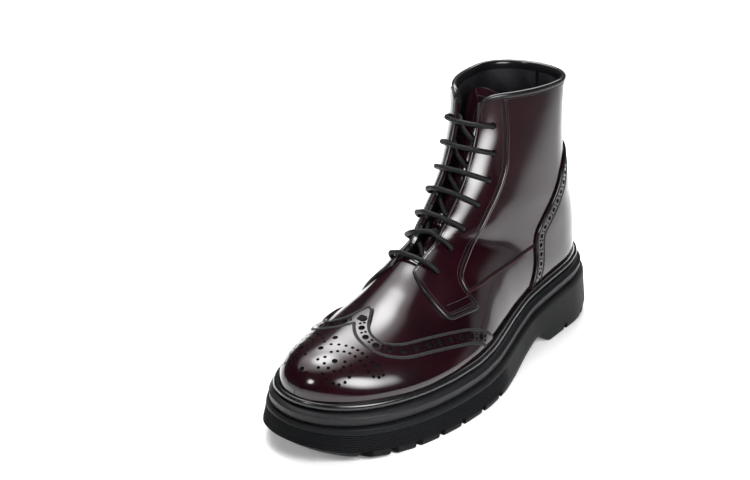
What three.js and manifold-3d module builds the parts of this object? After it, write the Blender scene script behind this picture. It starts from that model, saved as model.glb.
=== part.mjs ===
// Platform ankle boot, left foot: lace-up boot with a winged toe cap on a thick rubber sole.
// Millimetres, Z up, toe towards -Y, outer side towards +X.
import * as THREE from "three";
import Module from "manifold-3d";

const wasm = await Module();
wasm.setup();

// Main sizes
const sole_length = 308;
const sole_width = 121;
const collar_height = 190.5;
const wall = 2.2;
const overlay = 1.5;
const clear = 0.3;
const ankle_blend = 14.8;
const lace_radius = 1.7;
const eyelet_radius = 3;
const throat_half = 9;
const tongue_depth = 8.8;
const tongue_wall = 1.8;
const bead_height = 6;
const band_height = 9;
const insole_thick = 3.4;
const rib_count = 3;
const rib_depth = 0.6;
const lug_depth = 4.6;
const lug_width = 3.8;
const side_lean = 1.2;
const end_lean = 2.8;
const band_step = 3.8;
const end_step = 2.4;
const bead_step = 7;
const lug_reach = 15;

// The tables are drawn at these sizes, and three factors fit them to the sizes above
const along = sole_length / 308;
const across = sole_width / 121;
const up = collar_height / 190.5;
const beyond = 2 * sole_length;

// Feather line of the last, where upper and sole meet: place along the foot, half widths
const FEATHER = [
  { y: 140, lateral: 0, medial: 0 },
  { y: 136.5, lateral: 16, medial: 15.5 },
  { y: 129.5, lateral: 24.5, medial: 24 },
  { y: 115, lateral: 31, medial: 30.5 },
  { y: 95, lateral: 33.5, medial: 32.5 },
  { y: 70, lateral: 35, medial: 31.5 },
  { y: 45, lateral: 38.5, medial: 31.5 },
  { y: 20, lateral: 44.5, medial: 33.5 },
  { y: -6, lateral: 51, medial: 37 },
  { y: -30, lateral: 54.5, medial: 41.5 },
  { y: -50, lateral: 55, medial: 44.5 },
  { y: -68, lateral: 53.5, medial: 45.5 },
  { y: -87, lateral: 49.5, medial: 43.5 },
  { y: -104, lateral: 43, medial: 38.3 },
  { y: -118, lateral: 35.8, medial: 32.2 },
  { y: -128, lateral: 28.2, medial: 25.6 },
  { y: -135, lateral: 20.4, medial: 19 },
  { y: -139.5, lateral: 12.5, medial: 12.5 },
  { y: -142, lateral: 0, medial: 0 },
];

// Height of the welt's top edge, and height of the sole's underside above the floor
const WELT_LINE = [
  { y: 142, z: 53 },
  { y: 110, z: 49 },
  { y: 80, z: 46.2 },
  { y: 50, z: 42.6 },
  { y: 20, z: 39.5 },
  { y: -10, z: 37 },
  { y: -40, z: 35.5 },
  { y: -70, z: 35.5 },
  { y: -100, z: 36.5 },
  { y: -125, z: 38.5 },
  { y: -142, z: 40.5 },
];
const UNDERSIDE = [
  { y: 153, z: 3 },
  { y: 144, z: 0 },
  { y: 76, z: 0 },
  { y: 57, z: 10 },
  { y: 44, z: 8 },
  { y: 26, z: 4 },
  { y: 8, z: 0.8 },
  { y: -4, z: 0 },
  { y: -92, z: 0 },
  { y: -110, z: 1.2 },
  { y: -126, z: 3 },
  { y: -142, z: 6.5 },
  { y: -156, z: 11 },
];

// Ridge of the foot above the widest line, and how much slimmer than an ellipse the section is
const RIDGE = [
  { y: 142, height: 0, slim: 0 },
  { y: 138, height: 10, slim: 0 },
  { y: 130, height: 20, slim: 0 },
  { y: 115, height: 32, slim: 0 },
  { y: 90, height: 46, slim: 0 },
  { y: 60, height: 58, slim: 0.1 },
  { y: 30, height: 62, slim: 0.25 },
  { y: 0, height: 62, slim: 0.35 },
  { y: -20, height: 57, slim: 0.4 },
  { y: -36, height: 49, slim: 0.4 },
  { y: -52, height: 39.5, slim: 0.36 },
  { y: -68, height: 32, slim: 0.3 },
  { y: -87, height: 26, slim: 0.24 },
  { y: -104, height: 22.4, slim: 0.2 },
  { y: -118, height: 19.6, slim: 0.16 },
  { y: -128, height: 16, slim: 0.1 },
  { y: -135, height: 11.5, slim: 0.05 },
  { y: -139.5, height: 6.5, slim: 0 },
  { y: -142, height: 0, slim: 0 },
];
const widest_above_welt = 4 * up;
const tuck_under = 26 * up;

// Shaft, level by level: back, front and widest place along the foot, half widths there
const SHAFT = [
  { z: 30, back: 136.5, front: 60, widest: 104, lateral: 31, medial: 30.5 },
  { z: 44, back: 140, front: 50, widest: 106, lateral: 31.2, medial: 31.5 },
  { z: 50, back: 142.2, front: 45, widest: 106, lateral: 32, medial: 32.3 },
  { z: 60, back: 144, front: 38, widest: 106, lateral: 32.5, medial: 32.5 },
  { z: 70, back: 144, front: 18, widest: 104, lateral: 33, medial: 33 },
  { z: 85, back: 141.6, front: -4, widest: 102, lateral: 33, medial: 33 },
  { z: 100, back: 137, front: -15, widest: 99, lateral: 32.7, medial: 32.5 },
  { z: 111, back: 133.6, front: -5.5, widest: 97, lateral: 33.2, medial: 32.5 },
  { z: 123, back: 129.6, front: 6.5, widest: 95, lateral: 33.3, medial: 32.5 },
  { z: 137, back: 126.2, front: 18, widest: 93, lateral: 33.5, medial: 33 },
  { z: 154, back: 123, front: 26.5, widest: 92, lateral: 34, medial: 33.5 },
  { z: 170, back: 121.2, front: 32, widest: 92, lateral: 34.5, medial: 34 },
  { z: 184, back: 120.5, front: 34, widest: 93, lateral: 35, medial: 34.5 },
  { z: 200, back: 120, front: 35, widest: 93, lateral: 35.5, medial: 35 },
];
const ankle_fillet = ankle_blend ** 2;

// Planes of the sections, each from a point over the ridge to one under the foot or behind it
const FAN = [
  { top_y: -141.8, top_z: 43, low_y: -141.9, low_z: 36 },
  { top_y: -140, top_z: 49, low_y: -140.2, low_z: 29 },
  { top_y: -136.5, top_z: 54, low_y: -136.5, low_z: 29 },
  { top_y: -130, top_z: 58, low_y: -130, low_z: 28.5 },
  { top_y: -120, top_z: 63, low_y: -119, low_z: 28.5 },
  { top_y: -107, top_z: 66, low_y: -105, low_z: 28 },
  { top_y: -92, top_z: 69, low_y: -88, low_z: 28 },
  { top_y: -76, top_z: 73, low_y: -71, low_z: 27.5 },
  { top_y: -62, top_z: 79, low_y: -54, low_z: 27.5 },
  { top_y: -49, top_z: 88, low_y: -36, low_z: 28 },
  { top_y: -36, top_z: 97, low_y: -13, low_z: 29 },
  { top_y: -23, top_z: 107, low_y: 12, low_z: 30.5 },
  { top_y: -10, top_z: 117, low_y: 40, low_z: 33 },
  { top_y: 1, top_z: 127, low_y: 70, low_z: 36 },
  { top_y: 10, top_z: 136, low_y: 98, low_z: 37 },
  { top_y: 17, top_z: 144, low_y: 120, low_z: 37.5 },
  { top_y: 23, top_z: 152, low_y: 135, low_z: 37.5 },
  { top_y: 27, top_z: 160, low_y: 144, low_z: 45 },
  { top_y: 30, top_z: 169, low_y: 151, low_z: 62 },
  { top_y: 31, top_z: 179, low_y: 147, low_z: 90 },
  { top_y: 31, top_z: 188, low_y: 137, low_z: 124 },
  { top_y: 31, top_z: 194, low_y: 129, low_z: 160 },
  { top_y: 31, top_z: 199, low_y: 126, low_z: 197 },
];
const ring_steps = 7;

// Sole edge seen from above
const SOLE_EDGE = [
  { y: 152.5, lateral: 0, medial: 0 },
  { y: 151.5, lateral: 10, medial: 10 },
  { y: 147.5, lateral: 22, medial: 21.5 },
  { y: 139, lateral: 33.5, medial: 32.8 },
  { y: 126, lateral: 41.2, medial: 40 },
  { y: 108, lateral: 45, medial: 43.5 },
  { y: 85, lateral: 46, medial: 43 },
  { y: 60, lateral: 47, medial: 41 },
  { y: 35, lateral: 52, medial: 42 },
  { y: 10, lateral: 59, medial: 45.5 },
  { y: -12, lateral: 64.5, medial: 49.5 },
  { y: -32, lateral: 66.5, medial: 52.5 },
  { y: -52, lateral: 66, medial: 54.5 },
  { y: -72, lateral: 63.5, medial: 54.5 },
  { y: -90, lateral: 59.5, medial: 53 },
  { y: -108, lateral: 53.5, medial: 50 },
  { y: -124, lateral: 46, medial: 44.5 },
  { y: -138, lateral: 36, medial: 36 },
  { y: -147, lateral: 26, medial: 27 },
  { y: -153, lateral: 14, medial: 15 },
  { y: -155.5, lateral: 0, medial: 0 },
];

// Lug grooves in the edge: place along the foot and turn out of square, both sides
const LUGS = [
  { y: -126, turn: 28 },
  { y: -110, turn: 20 },
  { y: -93, turn: 13 },
  { y: -75, turn: 7 },
  { y: -56, turn: 1 },
  { y: -35, turn: -4 },
  { y: -14, turn: -8 },
  { y: 96, turn: 0 },
  { y: 122, turn: -12 },
];

// Wing edge of the toe cap, by place along the foot and by reach outwards less height
const WING = [
  { y: -68.2, reach: -49.3 },
  { y: -76, reach: -43.8 },
  { y: -82.5, reach: -39.4 },
  { y: -87.3, reach: -33.4 },
  { y: -87.4, reach: -26.8 },
  { y: -80.1, reach: -19.9 },
  { y: -60.9, reach: -14 },
  { y: -41.4, reach: -8.8 },
  { y: -29.5, reach: -5.5 },
  { y: -17.3, reach: -0.8 },
  { y: -10, reach: 3.5 },
  { y: -7, reach: 8 },
  { y: -5.5, reach: 20 },
];

// Rear seam, tab and lower front edge of an eyelet facing, in the same two measures
const FACING = [
  { y: 46.2, reach: -126 },
  { y: 46.5, reach: -118 },
  { y: 47, reach: -108.6 },
  { y: 46.7, reach: -98.4 },
  { y: 45.4, reach: -90.6 },
  { y: 44, reach: -82.7 },
  { y: 39.7, reach: -75.5 },
  { y: 33.1, reach: -68.6 },
  { y: 26.5, reach: -63.7 },
  { y: 19.9, reach: -58.6 },
  { y: 11.5, reach: -53 },
  { y: -1.7, reach: -45.7 },
  { y: -10.1, reach: -40.5 },
  { y: -14.2, reach: -36.5 },
  { y: -15.9, reach: -31 },
  { y: -15.5, reach: -25.8 },
  { y: -12.1, reach: -14.6 },
  { y: -13, reach: -13.4 },
  { y: -26.1, reach: -14.4 },
  { y: -36.9, reach: -15.7 },
  { y: -39.4, reach: -18 },
  { y: -41.2, reach: -24.9 },
  { y: -41.6, reach: -36.7 },
  { y: -39.4, reach: -47.9 },
  { y: -36, reach: -55.5 },
  { y: -31, reach: -62 },
  { y: -27, reach: -75 },
  { y: 20, reach: -135 },
];

// Front edge of the heel counter seen from the side
const COUNTER = [
  { y: 57, z: 30 },
  { y: 62, z: 44.5 },
  { y: 67.6, z: 52.8 },
  { y: 71.8, z: 63.6 },
  { y: 73, z: 76.3 },
  { y: 75, z: 83.8 },
  { y: 81.3, z: 91.4 },
  { y: 91, z: 101.7 },
  { y: 97.6, z: 112.5 },
  { y: 102.8, z: 123.1 },
  { y: 110, z: 132 },
  { y: 120, z: 138.5 },
  { y: 131, z: 142 },
];

// Collar seen from the side: the drop of its edge below the collar height
const COLLAR = [
  { y: 34, drop: 11 },
  { y: 36, drop: 7.5 },
  { y: 38, drop: 3.6 },
  { y: 41, drop: 1.4 },
  { y: 47, drop: 0.5 },
  { y: 60, drop: 0.3 },
  { y: 80, drop: 0.4 },
  { y: 105, drop: 0 },
  { y: 124, drop: 0 },
];

// Lace holes from the top down
const EYELETS = [
  { y: 39.9, z: 169.9 },
  { y: 37.3, z: 151.5 },
  { y: 31.2, z: 133.7 },
  { y: 19.6, z: 119.5 },
  { y: 5.5, z: 106.4 },
  { y: -8.5, z: 95.8 },
  { y: -27, z: 87 },
];

// What each column of the tables is measured along
const factor_of = {
  y: along,
  back: along,
  front: along,
  widest: along,
  lateral: across,
  medial: across,
  z: up,
  height: up,
  drop: up,
  slim: 1,
};

// A smooth curve through one column of a table, without overshoot between its rows
function through(table, key, column, power = 1) {
  const rows = [...table].sort((a, b) => a[key] - b[key]);
  const x = rows.map((row) => row[key] * factor_of[key]);
  const v = rows.map((row) => (row[column] * factor_of[column]) ** power);
  const n = x.length;
  const step = [];
  for (let i = 0; i < n - 1; i += 1) {
    step.push((v[i + 1] - v[i]) / (x[i + 1] - x[i]));
  }
  const slope = [step[0]];
  for (let i = 1; i < n - 1; i += 1) {
    const near = step[i - 1];
    const next = step[i];
    const wide = x[i + 1] - x[i - 1];
    const weight = (2 * (x[i + 1] - x[i]) + (x[i] - x[i - 1])) / (3 * wide);
    slope.push(near * next <= 0 ? 0 : 1 / (weight / near + (1 - weight) / next));
  }
  slope.push(step[n - 2]);
  return (at) => {
    if (at <= x[0]) {
      return v[0] + slope[0] * (at - x[0]);
    }
    if (at >= x[n - 1]) {
      return v[n - 1] + slope[n - 1] * (at - x[n - 1]);
    }
    let i = 0;
    while (at > x[i + 1]) {
      i += 1;
    }
    const width = x[i + 1] - x[i];
    const t = (at - x[i]) / width;
    const rise = v[i + 1] - v[i];
    const bend = (3 - 2 * t) * t * t * rise;
    return v[i] + bend + width * t * (1 - t) * ((1 - t) * slope[i] - t * slope[i + 1]);
  };
}

const welt_z = through(WELT_LINE, "y", "z");
const foot_width = {
  1: through(FEATHER, "y", "lateral", 2),
  [-1]: through(FEATHER, "y", "medial", 2),
};
const ridge_square = through(RIDGE, "y", "height", 2);
const slimness = through(RIDGE, "y", "slim");
const shaft_back = through(SHAFT, "z", "back");
const shaft_front = through(SHAFT, "z", "front");
const shaft_widest = through(SHAFT, "z", "widest");
const shaft_width = {
  1: through(SHAFT, "z", "lateral"),
  [-1]: through(SHAFT, "z", "medial"),
};

// Square of the last's half width at a place along the foot and a height: foot and shaft, blended
function width_square(y, z, side) {
  const foot = foot_width[side](y);
  const middle = welt_z(y) + widest_above_welt;
  const t = (z - middle) / Math.sqrt(Math.max(ridge_square(y), 0.001));
  let low = foot * (1 - ((z - middle) / tuck_under) ** 2);
  if (t > 3) {
    low = -Math.abs(foot) * 8 - ankle_fillet;
  } else if (t > 0 && foot > 0) {
    const s = Math.min(t, 1);
    low = foot * (1 - t * t) * (1 - slimness(y) * s * (2 - s));
  } else if (t > 0) {
    low = foot;
  }
  const far = y > shaft_widest(z) ? shaft_back(z) - shaft_widest(z) : shaft_widest(z) - shaft_front(z);
  const high = shaft_width[side](z) ** 2 * (1 - ((y - shaft_widest(z)) / far) ** 2);
  const near = Math.max(ankle_fillet - Math.abs(low - high), 0) / ankle_fillet;
  return Math.max(low, high) + (near * near * ankle_fillet) / 4;
}

// A point of the last moved outwards along its surface by a distance
function moved(x, y, z, side, out) {
  const h = 0.4;
  const ny = -(width_square(y + h, z, side) - width_square(y - h, z, side)) / (2 * h);
  const nz = -(width_square(y, z + h, side) - width_square(y, z - h, side)) / (2 * h);
  const normal = new THREE.Vector3(2 * x, ny, nz).normalize();
  return new THREE.Vector3(x, y, z).addScaledVector(normal, out);
}

// The point on a plane's top line where the last's ridge lies
function ridge_point(row) {
  const inside = new THREE.Vector2(row.low_y * along, row.low_z * up);
  const outside = new THREE.Vector2(row.top_y * along, row.top_z * up);
  let a = 0;
  let b = 1;
  const middle = inside.clone().lerp(outside, 0.35);
  for (let i = 0; i < 40; i += 1) {
    const t = (a + b) / 2;
    const p = middle.clone().lerp(outside, t);
    if (width_square(p.x, p.y, 1) > 0) {
      a = t;
    } else {
      b = t;
    }
  }
  return middle.lerp(outside, a);
}

// The lowest point of a plane, brought in to the last's back line where it starts behind it
function low_point(row) {
  const start = new THREE.Vector2(row.low_y * along, row.low_z * up);
  const outside = new THREE.Vector2(row.top_y * along, row.top_z * up);
  const middle = start.clone().lerp(outside, 0.3);
  if (width_square(start.x, start.y, 1) > 0) {
    return start;
  }
  let a = 0;
  let b = 1;
  for (let i = 0; i < 40; i += 1) {
    const t = (a + b) / 2;
    const p = middle.clone().lerp(start, t);
    if (width_square(p.x, p.y, 1) > 0) {
      a = t;
    } else {
      b = t;
    }
  }
  return middle.lerp(start, a);
}

const sections = FAN.map((row) => ({ top: ridge_point(row), low: low_point(row) }));

// A closed body from corner lists: rings of equal length, joined and closed at both ends
function body_of_rings(rings) {
  const count = rings[0].length;
  const points = rings.flat();
  const faces = [];
  for (let r = 0; r < rings.length - 1; r += 1) {
    for (let i = 0; i < count; i += 1) {
      const j = (i + 1) % count;
      const a = r * count + i;
      const b = r * count + j;
      faces.push([a, b, b + count], [a, b + count, a + count]);
    }
  }
  // Each end is closed by a strip between its two halves
  const last = (rings.length - 1) * count;
  for (let i = 0; i < count / 2 - 1; i += 1) {
    const j = count - 1 - i;
    faces.push([i, j, i + 1], [i + 1, j, j - 1]);
    faces.push([last + i, last + i + 1, last + j], [last + i + 1, last + j - 1, last + j]);
  }
  return solid_of(points, faces);
}

function solid_of(points, faces) {
  const make = (list) => new wasm.Manifold(new wasm.Mesh({
    numProp: 3,
    vertProperties: new Float32Array(points.flatMap((p) => [p.x, p.y, p.z])),
    triVerts: new Uint32Array(list.flat()),
  }));
  const solid = make(faces);
  if (solid.volume() > 0) {
    return solid;
  }
  return make(faces.map(([a, b, c]) => [a, c, b]));
}

// The last grown or shrunk by a distance, as one closed form
function last_form(out) {
  const rings = sections.map(({ top, low }) => {
    const ring = [];
    for (const side of [1, -1]) {
      const half = [];
      for (let i = 0; i <= ring_steps; i += 1) {
        const s = (1 - Math.cos((Math.PI * i) / ring_steps)) / 2;
        const y = top.x + (low.x - top.x) * s;
        const z = top.y + (low.y - top.y) * s;
        const x = side * Math.sqrt(Math.max(width_square(y, z, side), 0.0004));
        half.push(moved(x, y, z, side, out));
      }
      ring.push(...(side > 0 ? half : half.reverse()));
    }
    return ring;
  });
  return body_of_rings(rings);
}

// An outline drawn in a plane and pushed along a direction: origin, two axes, length
function pushed(outline, across, up, from, to) {
  const shape = new THREE.Shape(outline.map(([a, b]) => new THREE.Vector2(a, b)));
  const geometry = new THREE.ExtrudeGeometry(shape, {
    depth: to - from,
    bevelEnabled: false,
    steps: 1,
  });
  const normal = new THREE.Vector3().crossVectors(across, up);
  const frame = new THREE.Matrix4().makeBasis(across, up, normal);
  frame.setPosition(normal.clone().multiplyScalar(from));
  geometry.applyMatrix4(frame);
  return solid_from(geometry);
}

// A three.js geometry as a closed body, with equal corners joined
function solid_from(geometry) {
  const place = geometry.attributes.position;
  const index = geometry.index;
  const seen = new Map();
  const points = [];
  const corner = (i) => {
    const p = new THREE.Vector3().fromBufferAttribute(place, i);
    const name = [p.x, p.y, p.z].map((v) => Math.round(v * 10000)).join(" ");
    if (!seen.has(name)) {
      seen.set(name, points.length);
      points.push(p);
    }
    return seen.get(name);
  };
  const faces = [];
  const total = index ? index.count : place.count;
  for (let i = 0; i < total; i += 3) {
    const face = [0, 1, 2].map((k) => corner(index ? index.getX(i + k) : i + k));
    if (new Set(face).size === 3) {
      faces.push(face);
    }
  }
  return solid_of(points, faces);
}

const X = new THREE.Vector3(1, 0, 0);
const Y = new THREE.Vector3(0, 1, 0);
const Z = new THREE.Vector3(0, 0, 1);

// A form seen from the side, pushed across the boot
function side_form(outline, half_width = beyond) {
  return pushed(outline, Y, Z, -half_width, half_width);
}

// A form drawn on one half of the boot, looking down on it from the side at 45 degrees
function half_form(outline, side) {
  const reach = new THREE.Vector3(side, 0, -1).normalize();
  const form = pushed(outline, Y, reach, -beyond, beyond);
  const middle = -0.02 * side;
  const keep = pushed([
    [-beyond, middle],
    [beyond, middle],
    [beyond, side * beyond],
    [-beyond, side * beyond],
  ], Y, X, -beyond, beyond);
  return form.intersect(keep);
}

// Ground covered by everything above or below a line that follows the sole
function line_form(line, shift, above) {
  const points = [];
  for (let i = -18; i <= 18; i += 1) {
    const y = (i / 36) * sole_length * 1.15;
    points.push([y, line(y) + shift]);
  }
  const end = above ? beyond : -beyond;
  return side_form([...points, [0.575 * sole_length, end], [-0.575 * sole_length, end]]);
}

// Collar edge from the side, closed above it
function collar_form(shift) {
  const points = COLLAR.map((row) => [row.y * along, collar_height - row.drop * up + shift]);
  const first = points[0];
  const final = points[points.length - 1];
  const low_front = first[1] - 30 * up;
  return side_form([
    [-beyond, low_front],
    [first[0] - 8 * along, low_front],
    ...points,
    [beyond, final[1]],
    [beyond, beyond],
    [-beyond, beyond],
  ]);
}

// Upper: one hollow body, open below, at the throat and at the collar
const outer_form = last_form(0);
const inner_form = last_form(-wall);
const below_welt = line_form(welt_z, clear - bead_height, false);
const place = (points) => points.map(([y, z]) => [y * along, z * up]);
const throat_side = place([
  [-31, 73],
  [-31, 200],
  [-80, 260],
  [90, 260],
  [90, 190],
  [60, 150],
  [40, 100],
  [0, 80],
]);
const throat = side_form(throat_side, throat_half);

function eyelet_point(row, side, out) {
  const y = row.y * along;
  const z = row.z * up;
  const x = side * Math.sqrt(Math.max(width_square(y, z, side), 1));
  return moved(x, y, z, side, out);
}

function eyelet_hole(row, side) {
  const from = eyelet_point(row, side, -2 * wall);
  const to = eyelet_point(row, side, 3 * overlay);
  const hole = new THREE.CylinderGeometry(eyelet_radius, eyelet_radius, from.distanceTo(to), 8);
  const turn = new THREE.Quaternion().setFromUnitVectors(Y, to.clone().sub(from).normalize());
  hole.applyQuaternion(turn);
  hole.translate(...from.add(to).multiplyScalar(0.5).toArray());
  return solid_from(hole);
}

const holes = {};
for (const side of [1, -1]) {
  holes[side] = EYELETS.map((row) => eyelet_hole(row, side)).reduce((a, b) => a.add(b));
}

const upper_body = outer_form.subtract(inner_form)
  .subtract(below_welt)
  .subtract(collar_form(0))
  .subtract(throat)
  .subtract(holes[1]).subtract(holes[-1]);

// Overlays are cut from the gap between two forms a little larger than the upper
const overlay_form = last_form(clear + overlay).subtract(last_form(clear));
const above_welt = line_form(welt_z, 0.06 * bead_height + 3 * clear, false);
const edge_of = (rows) => rows.map((row) => [row.y * along, row.reach * up]);

const wing_half = [...edge_of(WING), ...place([[-6, 60], [-200, 60], [-200, -90], [-68.5, -90]])];
const wing_area = half_form(wing_half, 1).add(half_form(wing_half, -1));
const wing_body = overlay_form.intersect(wing_area).subtract(above_welt);

const binding_depth = 4.5;

function facing_body(side) {
  const area = half_form(edge_of(FACING), side);
  return overlay_form.intersect(area).subtract(throat).subtract(holes[side])
    .subtract(collar_form(-binding_depth - clear)).subtract(above_welt);
}

const counter_area = side_form(place([
  ...COUNTER.map((row) => [row.y, row.z]),
  [200, 142],
  [200, 30],
]));
const counter_body = overlay_form.intersect(counter_area).subtract(above_welt);

// Collar binding folds over the top edge
const binding_wall = 1.6;
const binding_out = last_form(clear + binding_wall);
const binding_in = last_form(-wall - clear - binding_wall * 0.7);
const binding_core = last_form(clear).subtract(last_form(-wall - clear))
  .subtract(collar_form(clear));
const collar_front = place([[-200, 0], [34, 0], [34, 300], [-200, 300]]);
const collar_mouth = place([[20, 120], [60, 120], [60, 250], [20, 250]]);
const binding_body = binding_out.subtract(binding_in)
  .subtract(collar_form(clear + binding_wall * 0.75))
  .intersect(collar_form(-binding_depth))
  .subtract(binding_core)
  .subtract(side_form(collar_front))
  .subtract(side_form(collar_mouth, throat_half));

// Tongue lies under the facings, with its root against the vamp
const tongue_sheet = last_form(-tongue_depth).subtract(last_form(-tongue_depth - tongue_wall));
const tongue_area = side_form(place([
  [-50, 60],
  [-50, 110],
  [0, 160],
  [20, 187.5],
  [62, 187.5],
  [52, 150],
  [40, 118],
  [22, 100],
  [0, 88],
  [-20, 76],
  [-36, 66],
]), 3 * throat_half);
const root_side = place([[-50, 60], [-50, 110], [-38, 110], [-38, 60]]);
const root_area = side_form(root_side, 2.2 * throat_half);
const root_sheet = last_form(-wall - clear).subtract(last_form(-tongue_depth - tongue_wall / 3));
const tongue_body = tongue_sheet.intersect(tongue_area).add(root_sheet.intersect(root_area));

// Lace: seven bars over the throat, joined by the crossings that run under the facings
function across_throat(row, side, x, out) {
  const start = new THREE.Vector2(row.y * along, row.z * up);
  const normal = eyelet_point(row, side, 1).sub(eyelet_point(row, side, 0));
  const push = new THREE.Vector2(normal.y, normal.z).normalize();
  let a = 0;
  let b = 60 * up;
  for (let i = 0; i < 40; i += 1) {
    const t = (a + b) / 2;
    if (width_square(start.x + push.x * t, start.y + push.y * t, side) > x * x) {
      a = t;
    } else {
      b = t;
    }
  }
  return moved(side * x, start.x + push.x * a, start.y + push.y * a, side, out);
}

// One cord from the top outer hole: bar, down through the inner hole, across under to the next bar
const lift = clear + overlay + lace_radius + 3 * clear;
const under = -wall - 3.7 * clear - lace_radius;
const lace_path = [];
EYELETS.forEach((row, i) => {
  const next = EYELETS[i + 1];
  lace_path.push(
    eyelet_point(row, 1, under),
    eyelet_point(row, 1, clear + 1.4 * overlay),
    across_throat(row, 1, 1.5 * throat_half, lift + clear * 1.6),
    across_throat(row, 1, 1.1 * throat_half, lift),
    across_throat(row, 1, 0.55 * throat_half, lift),
    across_throat(row, -1, 0.55 * throat_half, lift),
    across_throat(row, -1, 1.1 * throat_half, lift),
    across_throat(row, -1, 1.5 * throat_half, lift + clear * 1.6),
    eyelet_point(row, -1, clear + 1.4 * overlay),
    eyelet_point(row, -1, under),
  );
  if (next) {
    const down = (part) => ({
      y: row.y + (next.y - row.y) * part,
      z: row.z + (next.z - row.z) * part,
    });
    lace_path.push(
      across_throat(down(0.22), -1, 1.1 * throat_half, under),
      across_throat(down(0.39), -1, 0.45 * throat_half, under),
      across_throat(down(0.61), 1, 0.45 * throat_half, under),
      across_throat(down(0.78), 1, 1.1 * throat_half, under),
    );
  }
});
const lace_round = new THREE.Shape();
lace_round.absarc(0, 0, lace_radius, 0, Math.PI * 2, false);
const lace_tube = new THREE.ExtrudeGeometry(lace_round, {
  steps: Math.round(lace_path.length * 1.3),
  curveSegments: 3,
  bevelEnabled: false,
  extrudePath: new THREE.CatmullRomCurve3(lace_path, false, "centripetal"),
});
const lace_body = solid_from(lace_tube);

// Rubber sole from rings that follow its edge, each drawn in from it by a share of the edge
const edge_width = {
  1: through(SOLE_EDGE, "y", "lateral", 2),
  [-1]: through(SOLE_EDGE, "y", "medial", 2),
};
const underside_z = through(UNDERSIDE, "y", "z");
const sole_toe = -155.5 * along;
const sole_heel = 152.5 * along;
const stations = 22;

// The rows of a ring, close together at toe and heel, and at the heel's breast
function sole_rows() {
  const rows = [];
  for (let i = 0; i <= stations; i += 1) {
    const t = (1 - Math.cos((Math.PI * i) / stations)) / 2;
    rows.push(sole_toe + (sole_heel - sole_toe) * t);
  }
  for (const y of [76, 57, 144, -4, -92]) {
    const near = rows.reduce((a, b) => (Math.abs(b - y * along) < Math.abs(a - y * along) ? b : a));
    rows[rows.indexOf(near)] = y * along;
  }
  return rows;
}

const rows_of_sole = sole_rows();

function sole_ring(inset, height) {
  const half = {};
  for (const side of [1, -1]) {
    half[side] = rows_of_sole.map((row) => {
      const y = Math.min(Math.max(row, sole_toe + 0.01), sole_heel - 0.01);
      const x = Math.sqrt(Math.max(edge_width[side](y), 0));
      const ahead = Math.min(y + 0.5, sole_heel);
      const behind = Math.max(y - 0.5, sole_toe);
      const slope = (Math.sqrt(Math.max(edge_width[side](ahead), 0))
        - Math.sqrt(Math.max(edge_width[side](behind), 0))) / (ahead - behind);
      const normal = new THREE.Vector2(1, -slope).normalize();
      const drawn = inset(y);
      const px = Math.max(x - normal.x * drawn, 0.01);
      const py = y - normal.y * drawn;
      return new THREE.Vector3(side * px, py, height(py));
    });
  }
  return [...half[1], ...half[-1].reverse()];
}

const top_of_sole = (y) => welt_z(y) - bead_height - band_height;
const share = (part) => (y) => underside_z(y) + (top_of_sole(y) - underside_z(y)) * part;
const toe_tuck = (y) => Math.max(0, (-110 * along - y) / (45 * along)) ** 2;
const heel_tuck = (y) => Math.max(0, (y - 118 * along) / (35 * along)) ** 2;
const tuck = (part, ends) => (y) => (part + ends * (toe_tuck(y) + heel_tuck(y))) * across;
const rib_rings = [];
for (let i = 0; i < rib_count; i += 1) {
  const low = 0.3 + (0.52 * i) / rib_count;
  const step = 0.52 / rib_count;
  const lean = i / rib_count;
  rib_rings.push(
    sole_ring(tuck(side_lean * lean, end_lean * lean), share(low)),
    sole_ring(tuck(side_lean * lean + rib_depth, end_lean * lean), share(low + 0.6 * step)),
  );
}
let outsole_body = body_of_rings([
  sole_ring(tuck(2.2, 6), share(0)),
  sole_ring(tuck(0.6, 3), share(0.14)),
  ...rib_rings,
  sole_ring(tuck(side_lean, end_lean), share(0.86)),
  sole_ring(tuck(side_lean + 1.4, end_lean), share(1)),
]);
for (const lug of LUGS) {
  for (const side of [1, -1]) {
    const y = lug.y * along;
    const x = Math.sqrt(Math.max(edge_width[side](y), 0));
    const groove = new THREE.BoxGeometry(lug_reach * 2, lug_width, lug_depth * 2);
    groove.rotateZ((side * lug.turn * Math.PI) / 180);
    groove.translate(side * x, y, underside_z(y));
    outsole_body = outsole_body.subtract(solid_from(groove));
  }
}

const ledge_z = (y) => welt_z(y) - bead_height;
const stepped_in = (more) => tuck(band_step + more, end_step);
const midsole_body = body_of_rings([
  sole_ring(stepped_in(2.6), (y) => top_of_sole(y) + clear),
  sole_ring(stepped_in(0.4), (y) => top_of_sole(y) + 0.18 * band_height),
  sole_ring(stepped_in(0), (y) => ledge_z(y) - 0.3 * band_height),
  sole_ring(stepped_in(0.9), (y) => ledge_z(y) - 0.12 * band_height),
  sole_ring(stepped_in(2.4), ledge_z),
]);

// Welt bead round the upper's foot
const bead_inset = (more) => (y) => (bead_step + more + 2 * toe_tuck(y)) * across;
const bead_ring = (more, up) => sole_ring(bead_inset(more), (y) => ledge_z(y) + up);
const bead_outside = body_of_rings([
  bead_ring(0.9, clear),
  bead_ring(0, 0.45 * bead_height),
  bead_ring(1.5, 0.87 * bead_height),
  bead_ring(3.5, 1.03 * bead_height),
]);
const bead_hole = last_form(clear * 1.5);
const welt_body = bead_outside.subtract(bead_hole);

// Insole inside the upper, on the midsole
const insole_body = last_form(-wall - clear)
  .subtract(line_form(ledge_z, clear, false))
  .subtract(line_form(ledge_z, clear + insole_thick, true));

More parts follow.
